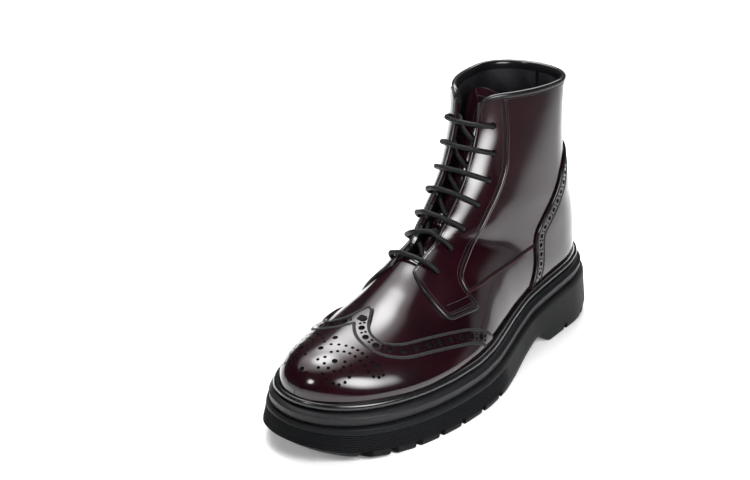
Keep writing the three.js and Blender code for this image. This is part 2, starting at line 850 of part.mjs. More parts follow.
// Each body as a named mesh, with the whole set centred on the sole's box
const widest_lateral = Math.max(...SOLE_EDGE.map((row) => row.lateral));
const widest_medial = Math.max(...SOLE_EDGE.map((row) => row.medial));
const centre_x = ((widest_lateral - widest_medial) / 2) * across;
const centre_y = (sole_toe + sole_heel) / 2;

function mesh_of(name, body, color, roughness, metalness) {
  const data = body.getMesh();
  const geometry = new THREE.BufferGeometry();
  const flat = new Float32Array(data.numVert * 3);
  for (let i = 0; i < data.numVert; i += 1) {
    for (let k = 0; k < 3; k += 1) {
      flat[i * 3 + k] = data.vertProperties[i * data.numProp + k];
    }
  }
  geometry.setAttribute("position", new THREE.BufferAttribute(flat, 3));
  geometry.setIndex(new THREE.BufferAttribute(new Uint32Array(data.triVerts), 1));
  geometry.translate(-centre_x, -centre_y, 0);
  geometry.computeVertexNormals();
  const material = new THREE.MeshStandardMaterial({ color, roughness, metalness });
  const mesh = new THREE.Mesh(geometry, material);
  mesh.name = name;
  return mesh;
}

const boot = new THREE.Group();
boot.name = "platform_ankle_boot";
boot.add(mesh_of("outsole", outsole_body, 0x17171a, 0.6, 0));
boot.add(mesh_of("midsole", midsole_body, 0x1b1b1e, 0.5, 0));
boot.add(mesh_of("welt", welt_body, 0x141416, 0.25, 0));
boot.add(mesh_of("insole", insole_body, 0x1c1a1a, 0.8, 0));
boot.add(mesh_of("upper", upper_body, 0x3a0f18, 0.2, 0));
boot.add(mesh_of("wing_cap", wing_body, 0x3d1019, 0.2, 0));
boot.add(mesh_of("counter", counter_body, 0x3d1019, 0.2, 0));
boot.add(mesh_of("facing_lateral", facing_body(1), 0x3d1019, 0.2, 0));
boot.add(mesh_of("facing_medial", facing_body(-1), 0x3d1019, 0.2, 0));
boot.add(mesh_of("collar_binding", binding_body, 0x151214, 0.4, 0));
boot.add(mesh_of("tongue", tongue_body, 0x35101a, 0.25, 0));
boot.add(mesh_of("lace", lace_body, 0x0e0e10, 0.7, 0));

export default boot;
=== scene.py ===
import math
import bpy
import numpy as np
from mathutils import Matrix, Vector


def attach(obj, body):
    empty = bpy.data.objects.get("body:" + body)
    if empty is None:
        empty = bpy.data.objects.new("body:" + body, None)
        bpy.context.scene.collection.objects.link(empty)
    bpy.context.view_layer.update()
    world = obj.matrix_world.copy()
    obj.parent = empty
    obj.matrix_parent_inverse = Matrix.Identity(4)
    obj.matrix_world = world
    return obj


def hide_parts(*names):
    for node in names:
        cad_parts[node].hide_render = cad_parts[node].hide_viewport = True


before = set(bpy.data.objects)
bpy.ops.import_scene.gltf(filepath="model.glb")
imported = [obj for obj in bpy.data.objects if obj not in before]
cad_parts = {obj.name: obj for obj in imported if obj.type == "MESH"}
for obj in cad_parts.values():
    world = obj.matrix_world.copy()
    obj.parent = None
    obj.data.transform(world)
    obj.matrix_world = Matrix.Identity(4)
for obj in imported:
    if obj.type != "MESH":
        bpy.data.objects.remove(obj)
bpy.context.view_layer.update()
bpy.ops.object.select_all(action="DESELECT")

# Camera
# A long lens at the photograph's angle, from the front and outer side, a little above the boot.
azimuth, elevation, roll = math.radians(41.53), math.radians(24.08), math.radians(-1.92)
camera_place = Vector((0.4829, -0.6140, 0.4475))
back = Vector((
    math.sin(azimuth) * math.cos(elevation),
    -math.cos(azimuth) * math.cos(elevation),
    math.sin(elevation),
))
level = (-back).cross(Vector((0, 0, 1))).normalized()
over = level.cross(-back)
right = level * math.cos(roll) + over * math.sin(roll)
above = over * math.cos(roll) - level * math.sin(roll)
bpy.ops.object.camera_add()
camera = bpy.context.object
camera.name = "camera"
camera_turn = Matrix((right, above, back)).transposed().to_4x4()
camera.matrix_world = Matrix.Translation(camera_place) @ camera_turn
camera.data.sensor_width = 36
camera.data.lens = 60.46
camera.data.clip_start = 0.01
camera.data.dof.use_dof = False
bpy.context.scene.camera = camera

# Floor and light
# A sheet of pale paper under six soft boxes: overhead, a panel at the inner side, a low one behind,
# one close to the outer side, one before the toe, and one whitening the paper behind. Past the
# outer side the paper is painted near black for glossy rays only, as if the table ended there:
# painted shade, seen only in reflections, which darkens the polish.


def new_material(name):
    material = bpy.data.materials.new(name)
    material.use_nodes = True
    tree = material.node_tree
    return material, tree, tree.nodes["Principled BSDF"]


def put(node, values):
    for socket, value in values.items():
        node.inputs[socket].default_value = value
    return node


def new_node(tree, kind, values=None):
    return put(tree.nodes.new("ShaderNode" + kind), values or {})


def wire(tree, *links):
    for source, output, target, socket in links:
        tree.links.new(source.outputs[output], target.inputs[socket])


bpy.ops.mesh.primitive_plane_add(size=14, location=(0, 0, 0))
floor = bpy.context.object
floor.name = "floor"
paper, tree, shader = new_material("pale_paper")
cloudy = new_node(tree, "TexNoise", {"Scale": 3})
tone = new_node(tree, "ValToRGB")
tone.color_ramp.elements[0].color = (0.86, 0.86, 0.865, 1)
tone.color_ramp.elements[1].color = (0.9, 0.9, 0.9, 1)
place = new_node(tree, "TexCoord")
axes = new_node(tree, "SeparateXYZ")
# Painted shade: from x 0.26 m to 0.44 m the paper fades to near black, for glossy rays only.
glossy_shade_edge = new_node(tree, "MapRange", {"From Min": 0.26, "From Max": 0.44})
glossy_shade_edge.interpolation_type = "SMOOTHSTEP"
ray = new_node(tree, "LightPath")
glossy_shade = new_node(tree, "Math")
glossy_shade.operation = "MULTIPLY"
mix = new_node(tree, "Mix")
mix.data_type = "RGBA"
put(mix, {"B": (0.03, 0.03, 0.03, 1)})
put(shader, {"Emission Color": (1, 1, 1, 1), "Emission Strength": 0.2, "Roughness": 0.8})
wire(
    tree, (cloudy, "Fac", tone, "Fac"), (place, "Object", axes, "Vector"),
    (axes, "X", glossy_shade_edge, "Value"), (glossy_shade_edge, "Result", glossy_shade, 0),
    (ray, "Is Glossy Ray", glossy_shade, 1), (glossy_shade, "Value", mix, "Factor"),
    (tone, "Color", mix, "A"), (mix, "Result", shader, "Base Color"),
)
floor.data.materials.append(paper)

world = bpy.data.worlds.new("studio")
world.use_nodes = True
put(world.node_tree.nodes["Background"], {"Color": (0.93, 0.95, 1, 1), "Strength": 0.02})
bpy.context.scene.world = world
bpy.context.scene.view_settings.view_transform = "Standard"


def soft_box(name, place, aim, wide, high, power):
    """An area lamp, brightest in its middle and fading out to its edges"""
    bpy.ops.object.light_add(type="AREA", location=place)
    lamp = bpy.context.object
    lamp.name = name
    lamp.visible_camera = False
    lamp.data.shape = "RECTANGLE"
    lamp.data.size, lamp.data.size_y = wide, high
    lamp.data.energy = power
    lamp.data.use_nodes = True
    tree = lamp.data.node_tree
    where = new_node(tree, "NewGeometry")
    middle = new_node(tree, "VectorMath", {1: (0.5, 0.5, 0)})
    middle.operation = "DISTANCE"
    fade = new_node(tree, "MapRange", {"From Min": 0.58, "From Max": 0.12, "To Max": 2.2})
    fade.interpolation_type = "SMOOTHSTEP"
    wire(tree, (where, "Parametric", middle, 0), (middle, "Value", fade, "Value"),
         (fade, "Result", tree.nodes["Emission"], "Strength"))
    lamp.rotation_euler = (Vector(aim) - Vector(place)).to_track_quat("-Z", "Y").to_euler()


soft_box("light_over", (-0.45, 0.1, 1.25), (0, -0.05, 0.05), 0.7, 0.7, 9)
soft_box("light_panel", (-0.7, 0.1, 1.7), (0, 0, 0.05), 2.0, 2.2, 26)
soft_box("light_low", (0.9, 1.25, 0.22), (0, 0, 0.1), 1.3, 0.45, 0.4)
soft_box("light_side", (0.24, -0.135, 0.245), (0.04, 0.02, 0.17), 0.28, 0.23, 1.7)
soft_box("light_toe", (-0.14, -0.9, 0.66), (0.01, -0.13, 0.05), 0.26, 0.3, 2.2)
soft_box("light_sweep", (-0.9, 1.5, 1.7), (-0.9, 1.5, 0), 2.2, 2.2, 75)

# Upper
# Polished calf, cut as vamp and quarters and pulled over a last, with a black calf lining.
# One shell from the last's own function, open at the collar, the throat and underneath.
FEATHER = [
    (140, 0, 0), (136.5, 16, 15.5), (129.5, 24.5, 24), (115, 31, 30.5), (95, 33.5, 32.5),
    (70, 35, 31.5), (45, 38.5, 31.5), (20, 44.5, 33.5), (-6, 51, 37), (-30, 54.5, 41.5),
    (-50, 55, 44.5), (-68, 53.5, 45.5), (-87, 49.5, 43.5), (-104, 43, 38.3), (-118, 35.8, 32.2),
    (-128, 28.2, 25.6), (-135, 20.4, 19), (-139.5, 12.5, 12.5), (-142, 0, 0),
]
WELT_LINE = [
    (142, 53), (110, 49), (80, 46.2), (50, 42.6), (20, 39.5), (-10, 37), (-40, 35.5),
    (-70, 35.5), (-100, 36.5), (-125, 38.5), (-142, 40.5),
]
RIDGE = [
    (142, 0, 0), (138, 10, 0), (130, 20, 0), (115, 32, 0), (90, 46, 0), (60, 58, 0.1),
    (30, 62, 0.25), (0, 62, 0.35), (-20, 57, 0.4), (-36, 49, 0.4), (-52, 39.5, 0.36),
    (-68, 32, 0.3), (-87, 26, 0.24), (-104, 22.4, 0.2), (-118, 19.6, 0.16), (-128, 16, 0.1),
    (-135, 11.5, 0.05), (-139.5, 6.5, 0), (-142, 0, 0),
]
SHAFT = [
    (30, 136.5, 60, 104, 31, 30.5), (44, 140, 50, 106, 31.2, 31.5), (50, 142.2, 45, 106, 32, 32.3),
    (60, 144, 38, 106, 32.5, 32.5), (70, 144, 18, 104, 33, 33), (85, 141.6, -4, 102, 33, 33),
    (100, 137, -15, 99, 32.7, 32.5), (111, 133.6, -5.5, 97, 33.2, 32.5),
    (123, 129.6, 6.5, 95, 33.3, 32.5), (137, 126.2, 18, 93, 33.5, 33),
    (154, 123, 26.5, 92, 34, 33.5), (170, 121.2, 32, 92, 34.5, 34), (184, 120.5, 34, 93, 35, 34.5),
    (200, 120, 35, 93, 35.5, 35),
]
PLANES = [
    (-142, 44.5, -142, 31), (-141.8, 45, -141.9, 31), (-140, 49, -140.2, 29),
    (-136.5, 54, -136.5, 29), (-130, 58, -130, 28.5), (-120, 63, -119, 28.5),
    (-107, 66, -105, 28), (-92, 69, -88, 28), (-76, 73, -71, 27.5), (-62, 79, -54, 27.5),
    (-49, 88, -36, 28), (-36, 97, -13, 29), (-23, 107, 12, 30.5), (-10, 117, 40, 33),
    (1, 127, 70, 36), (10, 136, 98, 37), (17, 144, 120, 37.5), (23, 152, 135, 37.5),
    (27, 160, 144, 45), (30, 169, 151, 62), (31, 179, 147, 90), (31, 188, 137, 124),
    (31, 194, 129, 160), (31, 199, 126, 197),
]
COLLAR = [
    (34, 179.5), (36, 183), (38, 186.9), (41, 189.1), (47, 190), (60, 190.2), (80, 190.1),
    (105, 190.5), (124, 190.5),
]
widest_above_welt = 4
tuck_under = 26
ankle_fillet = 14.8 ** 2
wall = 2.2
overlay = 1.5
clear = 0.3
throat_half = 9
blend_half = 8
shift = np.array([-6, 1.5, 0])


def through(table, column, power=1):
    """A smooth curve through one column of a table, over its first column"""
    rows = np.array(sorted(table), float)
    x, v = rows[:, 0], rows[:, column] ** power
    step = np.diff(v) / np.diff(x)
    slope = np.zeros(len(x))
    slope[0], slope[-1] = step[0], step[-1]
    for i in range(1, len(x) - 1):
        if step[i - 1] * step[i] > 0:
            weight = (2 * (x[i + 1] - x[i]) + (x[i] - x[i - 1])) / (3 * (x[i + 1] - x[i - 1]))
            slope[i] = 1 / (weight / step[i - 1] + (1 - weight) / step[i])

    def at(place):
        place = np.asarray(place, float)
        i = np.clip(np.searchsorted(x, place, side="right") - 1, 0, len(x) - 2)
        width = x[i + 1] - x[i]
        t = np.clip((place - x[i]) / width, 0, 1)
        bend = (3 - 2 * t) * t * t * (v[i + 1] - v[i])
        value = v[i] + bend + width * t * (1 - t) * ((1 - t) * slope[i] - t * slope[i + 1])
        value = value + np.minimum(place - x[0], 0) * slope[0]
        return value + np.maximum(place - x[-1], 0) * slope[-1]

    return at


welt_z = through(WELT_LINE, 1)
foot_width = {1: through(FEATHER, 1, 2), -1: through(FEATHER, 2, 2)}
ridge_square = through(RIDGE, 1, 2)
slimness = through(RIDGE, 2)
shaft_back, shaft_front, shaft_widest = (through(SHAFT, i) for i in (1, 2, 3))
shaft_width = {1: through(SHAFT, 4), -1: through(SHAFT, 5)}
collar_line = through(COLLAR, 1)


def collar_z(y):
    return collar_line(np.maximum(y, COLLAR[0][0]))


def half_square(y, z, side):
    """The square of the last's half width, less than nothing outside: foot and shaft, blended"""
    foot, far_up = foot_width[side](y), 3
    middle = welt_z(y) + widest_above_welt
    t = (z - middle) / np.sqrt(np.maximum(ridge_square(y), 0.001))
    s = np.clip(t, 0, 1)
    low = foot * (1 - ((z - middle) / tuck_under) ** 2)
    rising = foot * (1 - np.clip(t, -far_up, far_up) ** 2) * (1 - slimness(y) * s * (2 - s))
    low = np.where(t > 0, np.where(foot > 0, rising, foot), low)
    low = np.where(t > far_up, -np.abs(foot) * 8 - ankle_fillet, low)
    widest = shaft_widest(z)
    far = np.where(y > widest, shaft_back(z) - widest, widest - shaft_front(z))
    high = shaft_width[side](z) ** 2 * (1 - ((y - widest) / far) ** 2)
    near = np.maximum(ankle_fillet - np.abs(low - high), 0) / ankle_fillet
    return np.maximum(low, high) + near * near * ankle_fillet / 4


def inside(p):
    w = np.clip((p[:, 0] + blend_half) / (2 * blend_half), 0, 1)
    w = w * w * (3 - 2 * w)
    square = w * half_square(p[:, 1], p[:, 2], 1) + (1 - w) * half_square(p[:, 1], p[:, 2], -1)
    return square - p[:, 0] ** 2


def unit(rows):
    return rows / np.maximum(np.linalg.norm(rows, axis=1), 1e-9)[:, None]


def slope_of(p, h=0.3):
    steps = [inside(p + e) - inside(p - e) for e in np.eye(3) * h]
    return np.stack(steps, 1) / (2 * h)


def onto_last(p, rounds=6):
    p = np.array(p, float)
    for _ in range(rounds):
        g = slope_of(p)
        move = inside(p) / np.maximum((g ** 2).sum(1), 1e-9)
        move = np.clip(move * np.linalg.norm(g, axis=1), -3, 3)
        p -= unit(g) * move[:, None]
    return p


def outward(p):
    return unit(-slope_of(p))


def from_side(y, z, side):
    y, z = np.broadcast_arrays(np.asarray(y, float), np.asarray(z, float))
    x = side * np.sqrt(np.maximum(half_square(y, z, side), 0))
    return onto_last(np.stack([x, y, z], -1).reshape(-1, 3), 3)


def last_held(low, high, holds, rounds=36):
    """Halves the way from low to high, and gives the last place that holds"""
    for _ in range(rounds):
        t = (low + high) / 2
        held = holds(t)
        low, high = np.where(held, t, low), np.where(held, high, t)
    return low


def from_reach(y, reach, side):
    """The last's surface at places y, with the reach measured at 45 degrees outwards and down"""
    y, reach = np.asarray(y, float), np.asarray(reach, float)

    def place(t):
        return (t + reach) / math.sqrt(2), (t - reach) / math.sqrt(2)

    def holds(t):
        x, z = place(t)
        return half_square(y, z, side) > x * x

    low = np.maximum(-reach, reach + math.sqrt(2) * (welt_z(y) + widest_above_welt))
    farthest = np.full(len(y), 260.0)
    x, z = place(last_held(low, farthest, holds, 40))
    return np.stack([side * x, y, z], 1)


def curve_through(points, step):
    """A smooth curve through all the points, in steps of about one size"""
    p = np.array(points, float)
    ends = np.vstack([2 * p[0] - p[1], p, 2 * p[-1] - p[-2]])
    gaps = np.maximum(np.linalg.norm(np.diff(ends, axis=0), axis=1), 1e-6) ** 0.5
    knots = np.concatenate([[0], np.cumsum(gaps)])
    out = []
    for i in range(1, len(ends) - 2):
        a, b, c, d = ends[i - 1:i + 3]
        ta, tb, tc, td = knots[i - 1:i + 3]
        count = max(int(np.linalg.norm(c - b) / step + 0.999), 1)
        t = np.linspace(tb, tc, count, endpoint=False)[:, None]
        ab = a + (b - a) * (t - ta) / (tb - ta)
        bc = b + (c - b) * (t - tb) / (tc - tb)
        cd = c + (d - c) * (t - tc) / (td - tc)
        abc = ab + (bc - ab) * (t - ta) / (tc - ta)
        bcd = bc + (cd - bc) * (t - tb) / (td - tb)
        out.append(abc + (bcd - abc) * (t - tb) / (tc - tb))
    return np.vstack(out + [p[-1:]])


def evenly(points, step):
    p = np.asarray(points, float)
    length = np.concatenate([[0], np.cumsum(np.linalg.norm(np.diff(p, axis=0), axis=1))])
    count = max(int(round(length[-1] / step)), 1)
    at = np.linspace(0, length[-1], count + 1)
    return np.stack([np.interp(at, length, p[:, k]) for k in range(3)], 1)


def distance_to(points, curve):
    a, b = curve[:-1], curve[1:]
    run = b - a
    size = np.maximum((run ** 2).sum(1), 1e-12)
    best = np.empty(len(points))
    for i in range(0, len(points), 4000):
        p = points[i:i + 4000, None, :]
        t = np.clip(((p - a) * run).sum(2) / size, 0, 1)
        best[i:i + 4000] = np.sqrt(((a + t[..., None] * run - p) ** 2).sum(2).min(1))
    return best


# Wear: soft troughs, each with a low ridge beside it, where the ankle and the vamp bend
CREASES = [
    (0.3, 8, [(30, 88), (46, 93), (62, 93), (80, 89)]),
    (0.25, 8, [(42, 104), (58, 108), (74, 106), (90, 100)]),
    (0.2, 9, [(60, 122), (76, 122), (92, 118)]),
    (0.14, 6, [(-40, 52), (-44, 62), (-47, 72)]),
    (0.12, 6, [(-50, 50), (-54, 60), (-57, 69)]),
]
ridge_share, ridge_at, crease_far = 0.45, 1.9, 45
crease_lines = []
for depth, half, places in CREASES:
    for side in (1, -1):
        line = curve_through(from_side(*np.array(places, float).T, side), 3)
        crease_lines.append((depth, half, line))


def creased(p):
    height = np.zeros(len(p))
    for depth, half, line in crease_lines:
        near = np.abs(p - line.mean(0)).max(1) < crease_far
        if near.any():
            d = distance_to(p[near], line) / half
            trough, ridge = np.exp(-d * d), np.exp(-(d - ridge_at) ** 2)
            height[near] -= depth * (trough - ridge_share * ridge)
    return height


def skin(p, out):
    """Places on the worn leather, so far out from the last"""
    return p + outward(p) * (np.asarray(out) + creased(p))[:, None]


def plane_row(planes, r):
    """Top and foot of the planes through the last, at the places r between them"""
    i = np.clip(np.floor(r).astype(int), 0, len(planes) - 2)
    row = planes[i] + (planes[i + 1] - planes[i]) * (r - i)[:, None]
    return row[:, :2], row[:, 2:]


def half_at(p, side):
    y, z = p.T
    return np.where(side > 0, half_square(y, z, 1), half_square(y, z, -1))


def last_between(start, end, holds):
    def at(share):
        return start + (end - start) * share[:, None]

    return at(last_held(np.zeros(len(start)), np.ones(len(start)), lambda t: holds(at(t))))


ridge_from, foot_from = 0.35, 0.3


def plane_points(r, share, side):
    top, low = plane_row(np.array(PLANES, float), r)

    def held(p):
        return half_square(p[:, 0], p[:, 1], 1) > 0

    ridge = last_between(low + (top - low) * ridge_from, top, held)
    foot = last_between(low + (top - low) * foot_from, low, held)
    foot = np.where(held(low)[:, None], low, foot)
    front = r < 0.01
    ridge[front], foot[front] = top[front], low[front]
    place = ridge + (foot - ridge) * share[:, None]
    return np.column_stack([side * np.sqrt(np.maximum(half_at(place, side), 0)), place])


def grid_quads(rows, count):
    a = (np.arange(rows - 1)[:, None] * count + np.arange(count - 1)).ravel()
    return np.stack([a, a + 1, a + count + 1, a + count], 1)


def last_grid(rows_each, columns):
    """Triangles over the whole last: rows in its planes and columns from side to side"""
    final = len(PLANES) - 1
    r = np.linspace(0, final, final * rows_each + 1)
    r[:rows_each] = r[:rows_each] ** 2
    s = np.linspace(-1, 1, 2 * columns + 1)
    share = np.tile((1 - np.cos(np.pi * s)) / 2, len(r))
    rr, ss = np.meshgrid(r, s, indexing="ij")
    points = onto_last(plane_points(rr.ravel(), share, np.where(ss < 0, -1, 1).ravel()), 3)
    quads = grid_quads(len(r), len(s))
    return points, np.vstack([quads[:, [0, 1, 2]], quads[:, [0, 2, 3]]])


def split(points, faces, values, level, columns=()):
    """Cuts the triangles where the values cross the level"""
    f = values - level
    f = np.where(np.abs(f) < 0.02, 0.02, f)
    above = f >= 0
    mixed = above[faces].any(1) & ~above[faces].all(1)
    tri = faces[mixed]
    lone = np.where(above[tri].sum(1) == 1, 1, 0)
    pick = np.argmax(above[tri] == lone[:, None].astype(bool), axis=1)
    i = np.arange(len(tri))
    a, b, c = tri[i, pick], tri[i, (pick + 1) % 3], tri[i, (pick + 2) % 3]
    edges = np.sort(np.vstack([np.stack([a, b], 1), np.stack([a, c], 1)]), axis=1)
    unique, index = np.unique(edges, axis=0, return_inverse=True)
    index = index.reshape(-1)
    u, v = unique.T
    t = (f[u] / (f[u] - f[v]))[:, None]
    fresh = points[u] + (points[v] - points[u]) * t
    ab, ac = len(points) + index[:len(tri)], len(points) + index[len(tri):]
    more = np.vstack([np.stack([a, ab, ac], 1), np.stack([ab, b, c], 1), np.stack([ab, c, ac], 1)])
    columns = [np.concatenate([k, k[u] + (k[v] - k[u]) * t[:, 0]]) for k in columns]
    values = np.concatenate([values, np.full(len(u), float(level))])
    points = np.vstack([points, onto_last(fresh, 2)]) if len(fresh) else points
    return points, np.vstack([faces[~mixed], more]), values, columns


def used_only(faces, *columns):
    used = np.unique(faces)
    renamed = np.full(used[-1] + 1, -1)
    renamed[used] = np.arange(len(used))
    return renamed[faces], [column[used] for column in columns]


def keep(points, faces, values, *columns):
    """The part where the values are above nothing"""
    points, faces, values, columns = split(points, faces, values, 0, columns)
    faces, kept = used_only(faces[values[faces].mean(1) > 0], points, values, *columns)
    return kept[0], faces, *kept[1:]


def shell(faces, top, low):
    """A closed solid between two sheets of the same faces, with walls round the rim"""
    count, corners = len(top), faces.shape[1]
    edges = np.vstack([faces[:, [k, (k + 1) % corners]] for k in range(corners)])
    key = np.sort(edges, axis=1)
    _, first, times = np.unique(key, axis=0, return_index=True, return_counts=True)
    rim = edges[first[times == 1]]
    walls = np.stack([rim[:, 1], rim[:, 0], rim[:, 0] + count, rim[:, 1] + count], 1)
    return np.vstack([top, low]), [
        *faces.tolist(), *(faces[:, ::-1] + count).tolist(), *walls.tolist()]


def select_only(piece):
    bpy.ops.object.select_all(action="DESELECT")
    bpy.context.view_layer.objects.active = piece
    piece.select_set(True)


def new_solid(name, points, faces, material, weld=True):
    mesh = bpy.data.meshes.new(name)
    mesh.from_pydata(((np.asarray(points) + shift) * 0.001).tolist(), [], [list(f) for f in faces])
    mesh.update()
    mesh.materials.append(material)
    solid = bpy.data.objects.new(name, mesh)
    bpy.context.collection.objects.link(solid)
    select_only(solid)
    bpy.ops.object.mode_set(mode="EDIT")
    bpy.ops.mesh.select_all(action="SELECT")
    if weld:
        bpy.ops.mesh.remove_doubles(threshold=0.000004)
        bpy.ops.mesh.dissolve_degenerate(threshold=0.000002)
    bpy.ops.mesh.normals_make_consistent(inside=False)
    bpy.ops.object.mode_set(mode="OBJECT")
    return solid


def new_piece(name, points, faces, material, slot, *stands_for, smooth=40):
    piece = new_solid(name, points, faces, material)
    bpy.ops.object.shade_smooth_by_angle(angle=math.radians(smooth))
    piece.select_set(False)
    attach(piece, "root")
    if stands_for:
        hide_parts(*stands_for)
    return piece


# Grain shared by the leathers: pores, faint cloudiness of the polish and a fine wave
grain = bpy.data.node_groups.new("leather_grain", "ShaderNodeTree")
for name, way, kind, value in (
    ("Tone", "INPUT", "Color", (0.05, 0.005, 0.012, 1)),
    ("Deep", "INPUT", "Color", (0.02, 0.002, 0.005, 1)),
    ("Roughness", "INPUT", "Float", 0.3), ("Pores", "INPUT", "Float", 0.1),
    ("Color", "OUTPUT", "Color", None), ("Roughness", "OUTPUT", "Float", None),
    ("Normal", "OUTPUT", "Vector", None),
):
    socket = grain.interface.new_socket(name, in_out=way, socket_type="NodeSocket" + kind)
    if value:
        socket.default_value = value
grain_in = grain.nodes.new("NodeGroupInput")
grain_out = grain.nodes.new("NodeGroupOutput")
place = new_node(grain, "TexCoord")
cloud = new_node(grain, "TexNoise", {"Scale": 28, "Detail": 4})
cloud_range = new_node(grain, "MapRange", {"From Min": 0.38, "From Max": 0.66})
cloud_tone = new_node(grain, "Mix")
cloud_tone.data_type = "RGBA"
pores = new_node(grain, "TexVoronoi", {"Scale": 1500})
fine = new_node(grain, "TexNoise", {"Scale": 420, "Detail": 3})
pore_mix = new_node(grain, "Math")
pore_mix.operation = "ADD"
pore_bump = new_node(grain, "Bump", {"Distance": 0.0004})
rough_add = new_node(grain, "Math", {1: 0.12})
rough_add.operation = "MULTIPLY_ADD"
wire(
    grain, *((place, "Object", texture, "Vector") for texture in (cloud, pores, fine)),
    (cloud, "Fac", cloud_range, "Value"), (cloud_range, "Result", cloud_tone, "Factor"),
    (grain_in, "Deep", cloud_tone, "A"), (grain_in, "Tone", cloud_tone, "B"),
    (pores, "Distance", pore_mix, 0), (fine, "Fac", pore_mix, 1),
    (pore_mix, "Value", pore_bump, "Height"), (grain_in, "Pores", pore_bump, "Strength"),
    (cloud, "Fac", rough_add, 0), (grain_in, "Roughness", rough_add, 2),
    (cloud_tone, "Result", grain_out, "Color"), (rough_add, "Value", grain_out, "Roughness"),
    (pore_bump, "Normal", grain_out, "Normal"),
)


def leather(name, tone, deep, roughness, pores, coat):
    material, tree, shader = new_material(name)
    group = tree.nodes.new("ShaderNodeGroup")
    group.node_tree = grain
    put(group, {"Tone": (*tone, 1), "Deep": (*deep, 1), "Roughness": roughness, "Pores": pores})
    wire(tree, (group, "Color", shader, "Base Color"), (group, "Roughness", shader, "Roughness"),
         (group, "Normal", shader, "Normal"))
    put(shader, {"Coat Weight": coat, "Coat Roughness": 0.1, "Coat IOR": 1.5,
                 "Specular IOR Level": 0.06})
    return material


# The matte black is the real black in the punched holes and the counter's piping, and also painted
# shade in the facing groove and the quarter seam.
oxblood, turned, lining, black_edge, matte_black_and_shade = (leather(*look) for look in (
    ("oxblood_leather", (0.0105, 0.0009, 0.0028), (0.005, 0.0006, 0.0016), 0.3, 0.05, 1),
    ("turned_edge_leather", (0.03, 0.0016, 0.005), (0.014, 0.001, 0.003), 0.5, 0.05, 0.2),
    ("black_lining_leather", (0.034, 0.034, 0.038), (0.018, 0.018, 0.02), 0.36, 0.35, 0.25),
    ("black_bound_edge", (0.010, 0.010, 0.011), (0.006, 0.006, 0.007), 0.3, 0.15, 0.6),
    ("matte_black_and_painted_shade", (0.008, 0.008, 0.008), (0.004, 0.004, 0.004), 0.7, 0.1, 0),
))

tucked, slit_front, slit_back = 4, -31, 70
base, base_faces = last_grid(8, 60)
base, base_faces, _ = keep(base, base_faces, base[:, 2] - welt_z(base[:, 1]) + tucked)
base, base_faces, _ = keep(base, base_faces, collar_z(base[:, 1]) - base[:, 2])
base, base_faces, _ = keep(base, base_faces, np.maximum.reduce([
    np.abs(base[:, 0]) - throat_half - 0.3, slit_front - base[:, 1], base[:, 1] - slit_back]))

# The lining lies in soft slanting folds inside the back of the collar
fold_depth, fold_count, fold_slant = 2.2, 15, 0.16
fold_middle, fold_front, fold_low, fold_high, fold_fade = 66, 72, 128, 188, 24
round_back = np.arctan2(base[:, 0], base[:, 1] - fold_middle)
folded = np.clip((base[:, 1] - fold_front) / fold_fade, 0, 1)
folded *= np.clip((base[:, 2] - fold_low) / fold_fade, 0, 1)
folded *= np.clip((fold_high - base[:, 2]) / (fold_fade / 2), 0, 1)
wave = np.sin(round_back * fold_count + base[:, 2] * fold_slant)
folds = fold_depth * folded * (0.5 + 0.5 * wave) ** 2
upper = new_piece("upper_shell", *shell(base_faces, skin(base, 0), skin(base, -wall - folds)),
                  oxblood, "upper_leather", "upper")
upper.data.materials.append(lining)
centres = np.array([f.center[:] for f in upper.data.polygons]) / 0.001 - shift
height = ((centres - onto_last(centres, 3)) * outward(centres)).sum(1)
upper.data.polygons.foreach_set("material_index", (height < -wall / 2).astype(np.int32))

# Toe cap with wings
# A second layer of calf over the toe, gimped along its wing edge, with a punched band and a
# punched flower on the toe. Two close rows on each side of the band sew it to the vamp.
WING = [
    (-68.2, -49.3), (-76, -43.8), (-82.5, -39.4), (-87.3, -33.4), (-87.4, -26.8), (-80.1, -19.9),
    (-60.9, -14), (-41.4, -8.8), (-29.5, -5.5), (-17.3, -0.8), (-10, 3.5), (-7, 8), (-5.5, 20),
]


def flat_curve(rows, step=1.5):
    return curve_through([(*row, 0) for row in rows], step).T[:2]


wing_y, wing_reach = flat_curve(WING)
wing_edges = {side: from_reach(wing_y, wing_reach, side) for side in (1, -1)}
wing_line = np.vstack([wing_edges[-1][::-1], wing_edges[1][1:]])
dense, dense_faces = last_grid(11, 84)


def in_outline(a, b, outline):
    held = np.zeros(len(a), bool)
    for (a0, b0), (a1, b1) in zip(outline, np.roll(outline, -1, axis=0)):
        if b0 == b1:
            continue
        crosses = (b0 > b) != (b1 > b)
        held ^= crosses & (a < a0 + (b - b0) * (a1 - a0) / (b1 - b0))
    return held


def reach_of(p):
    return (np.abs(p[:, 0]) - p[:, 2]) / math.sqrt(2)


edge_round, edge_levels, edge_share, margin = 0.9, (0.12, 0.35, 0.8), 0.45, 12
layer_rise = overlay + clear


def layer(held, lines, limit):
    """Leather laid on the last inside the lines, as far as the limit stays above nothing"""
    far = np.full(len(dense), 99.0)
    for line in lines:
        near = ((dense > line.min(0) - margin) & (dense < line.max(0) + margin)).all(1)
        far[near] = np.minimum(far[near], distance_to(dense[near], line))
    part, faces, field = keep(dense, dense_faces, np.where(held, far, -far))
    part, faces, _, field = keep(part, faces, limit(part), field)
    for level in edge_levels:
        part, faces, field, _ = split(part, faces, field, level)
    t = np.clip(field / edge_round, 0, 1)
    height = layer_rise * (edge_share + (1 - edge_share) * np.sqrt(1 - (1 - t) ** 2))
    return shell(faces, skin(part, height), skin(part, 0.05))


def above_welt(p):
    return p[:, 2] - welt_z(p[:, 1]) + 2


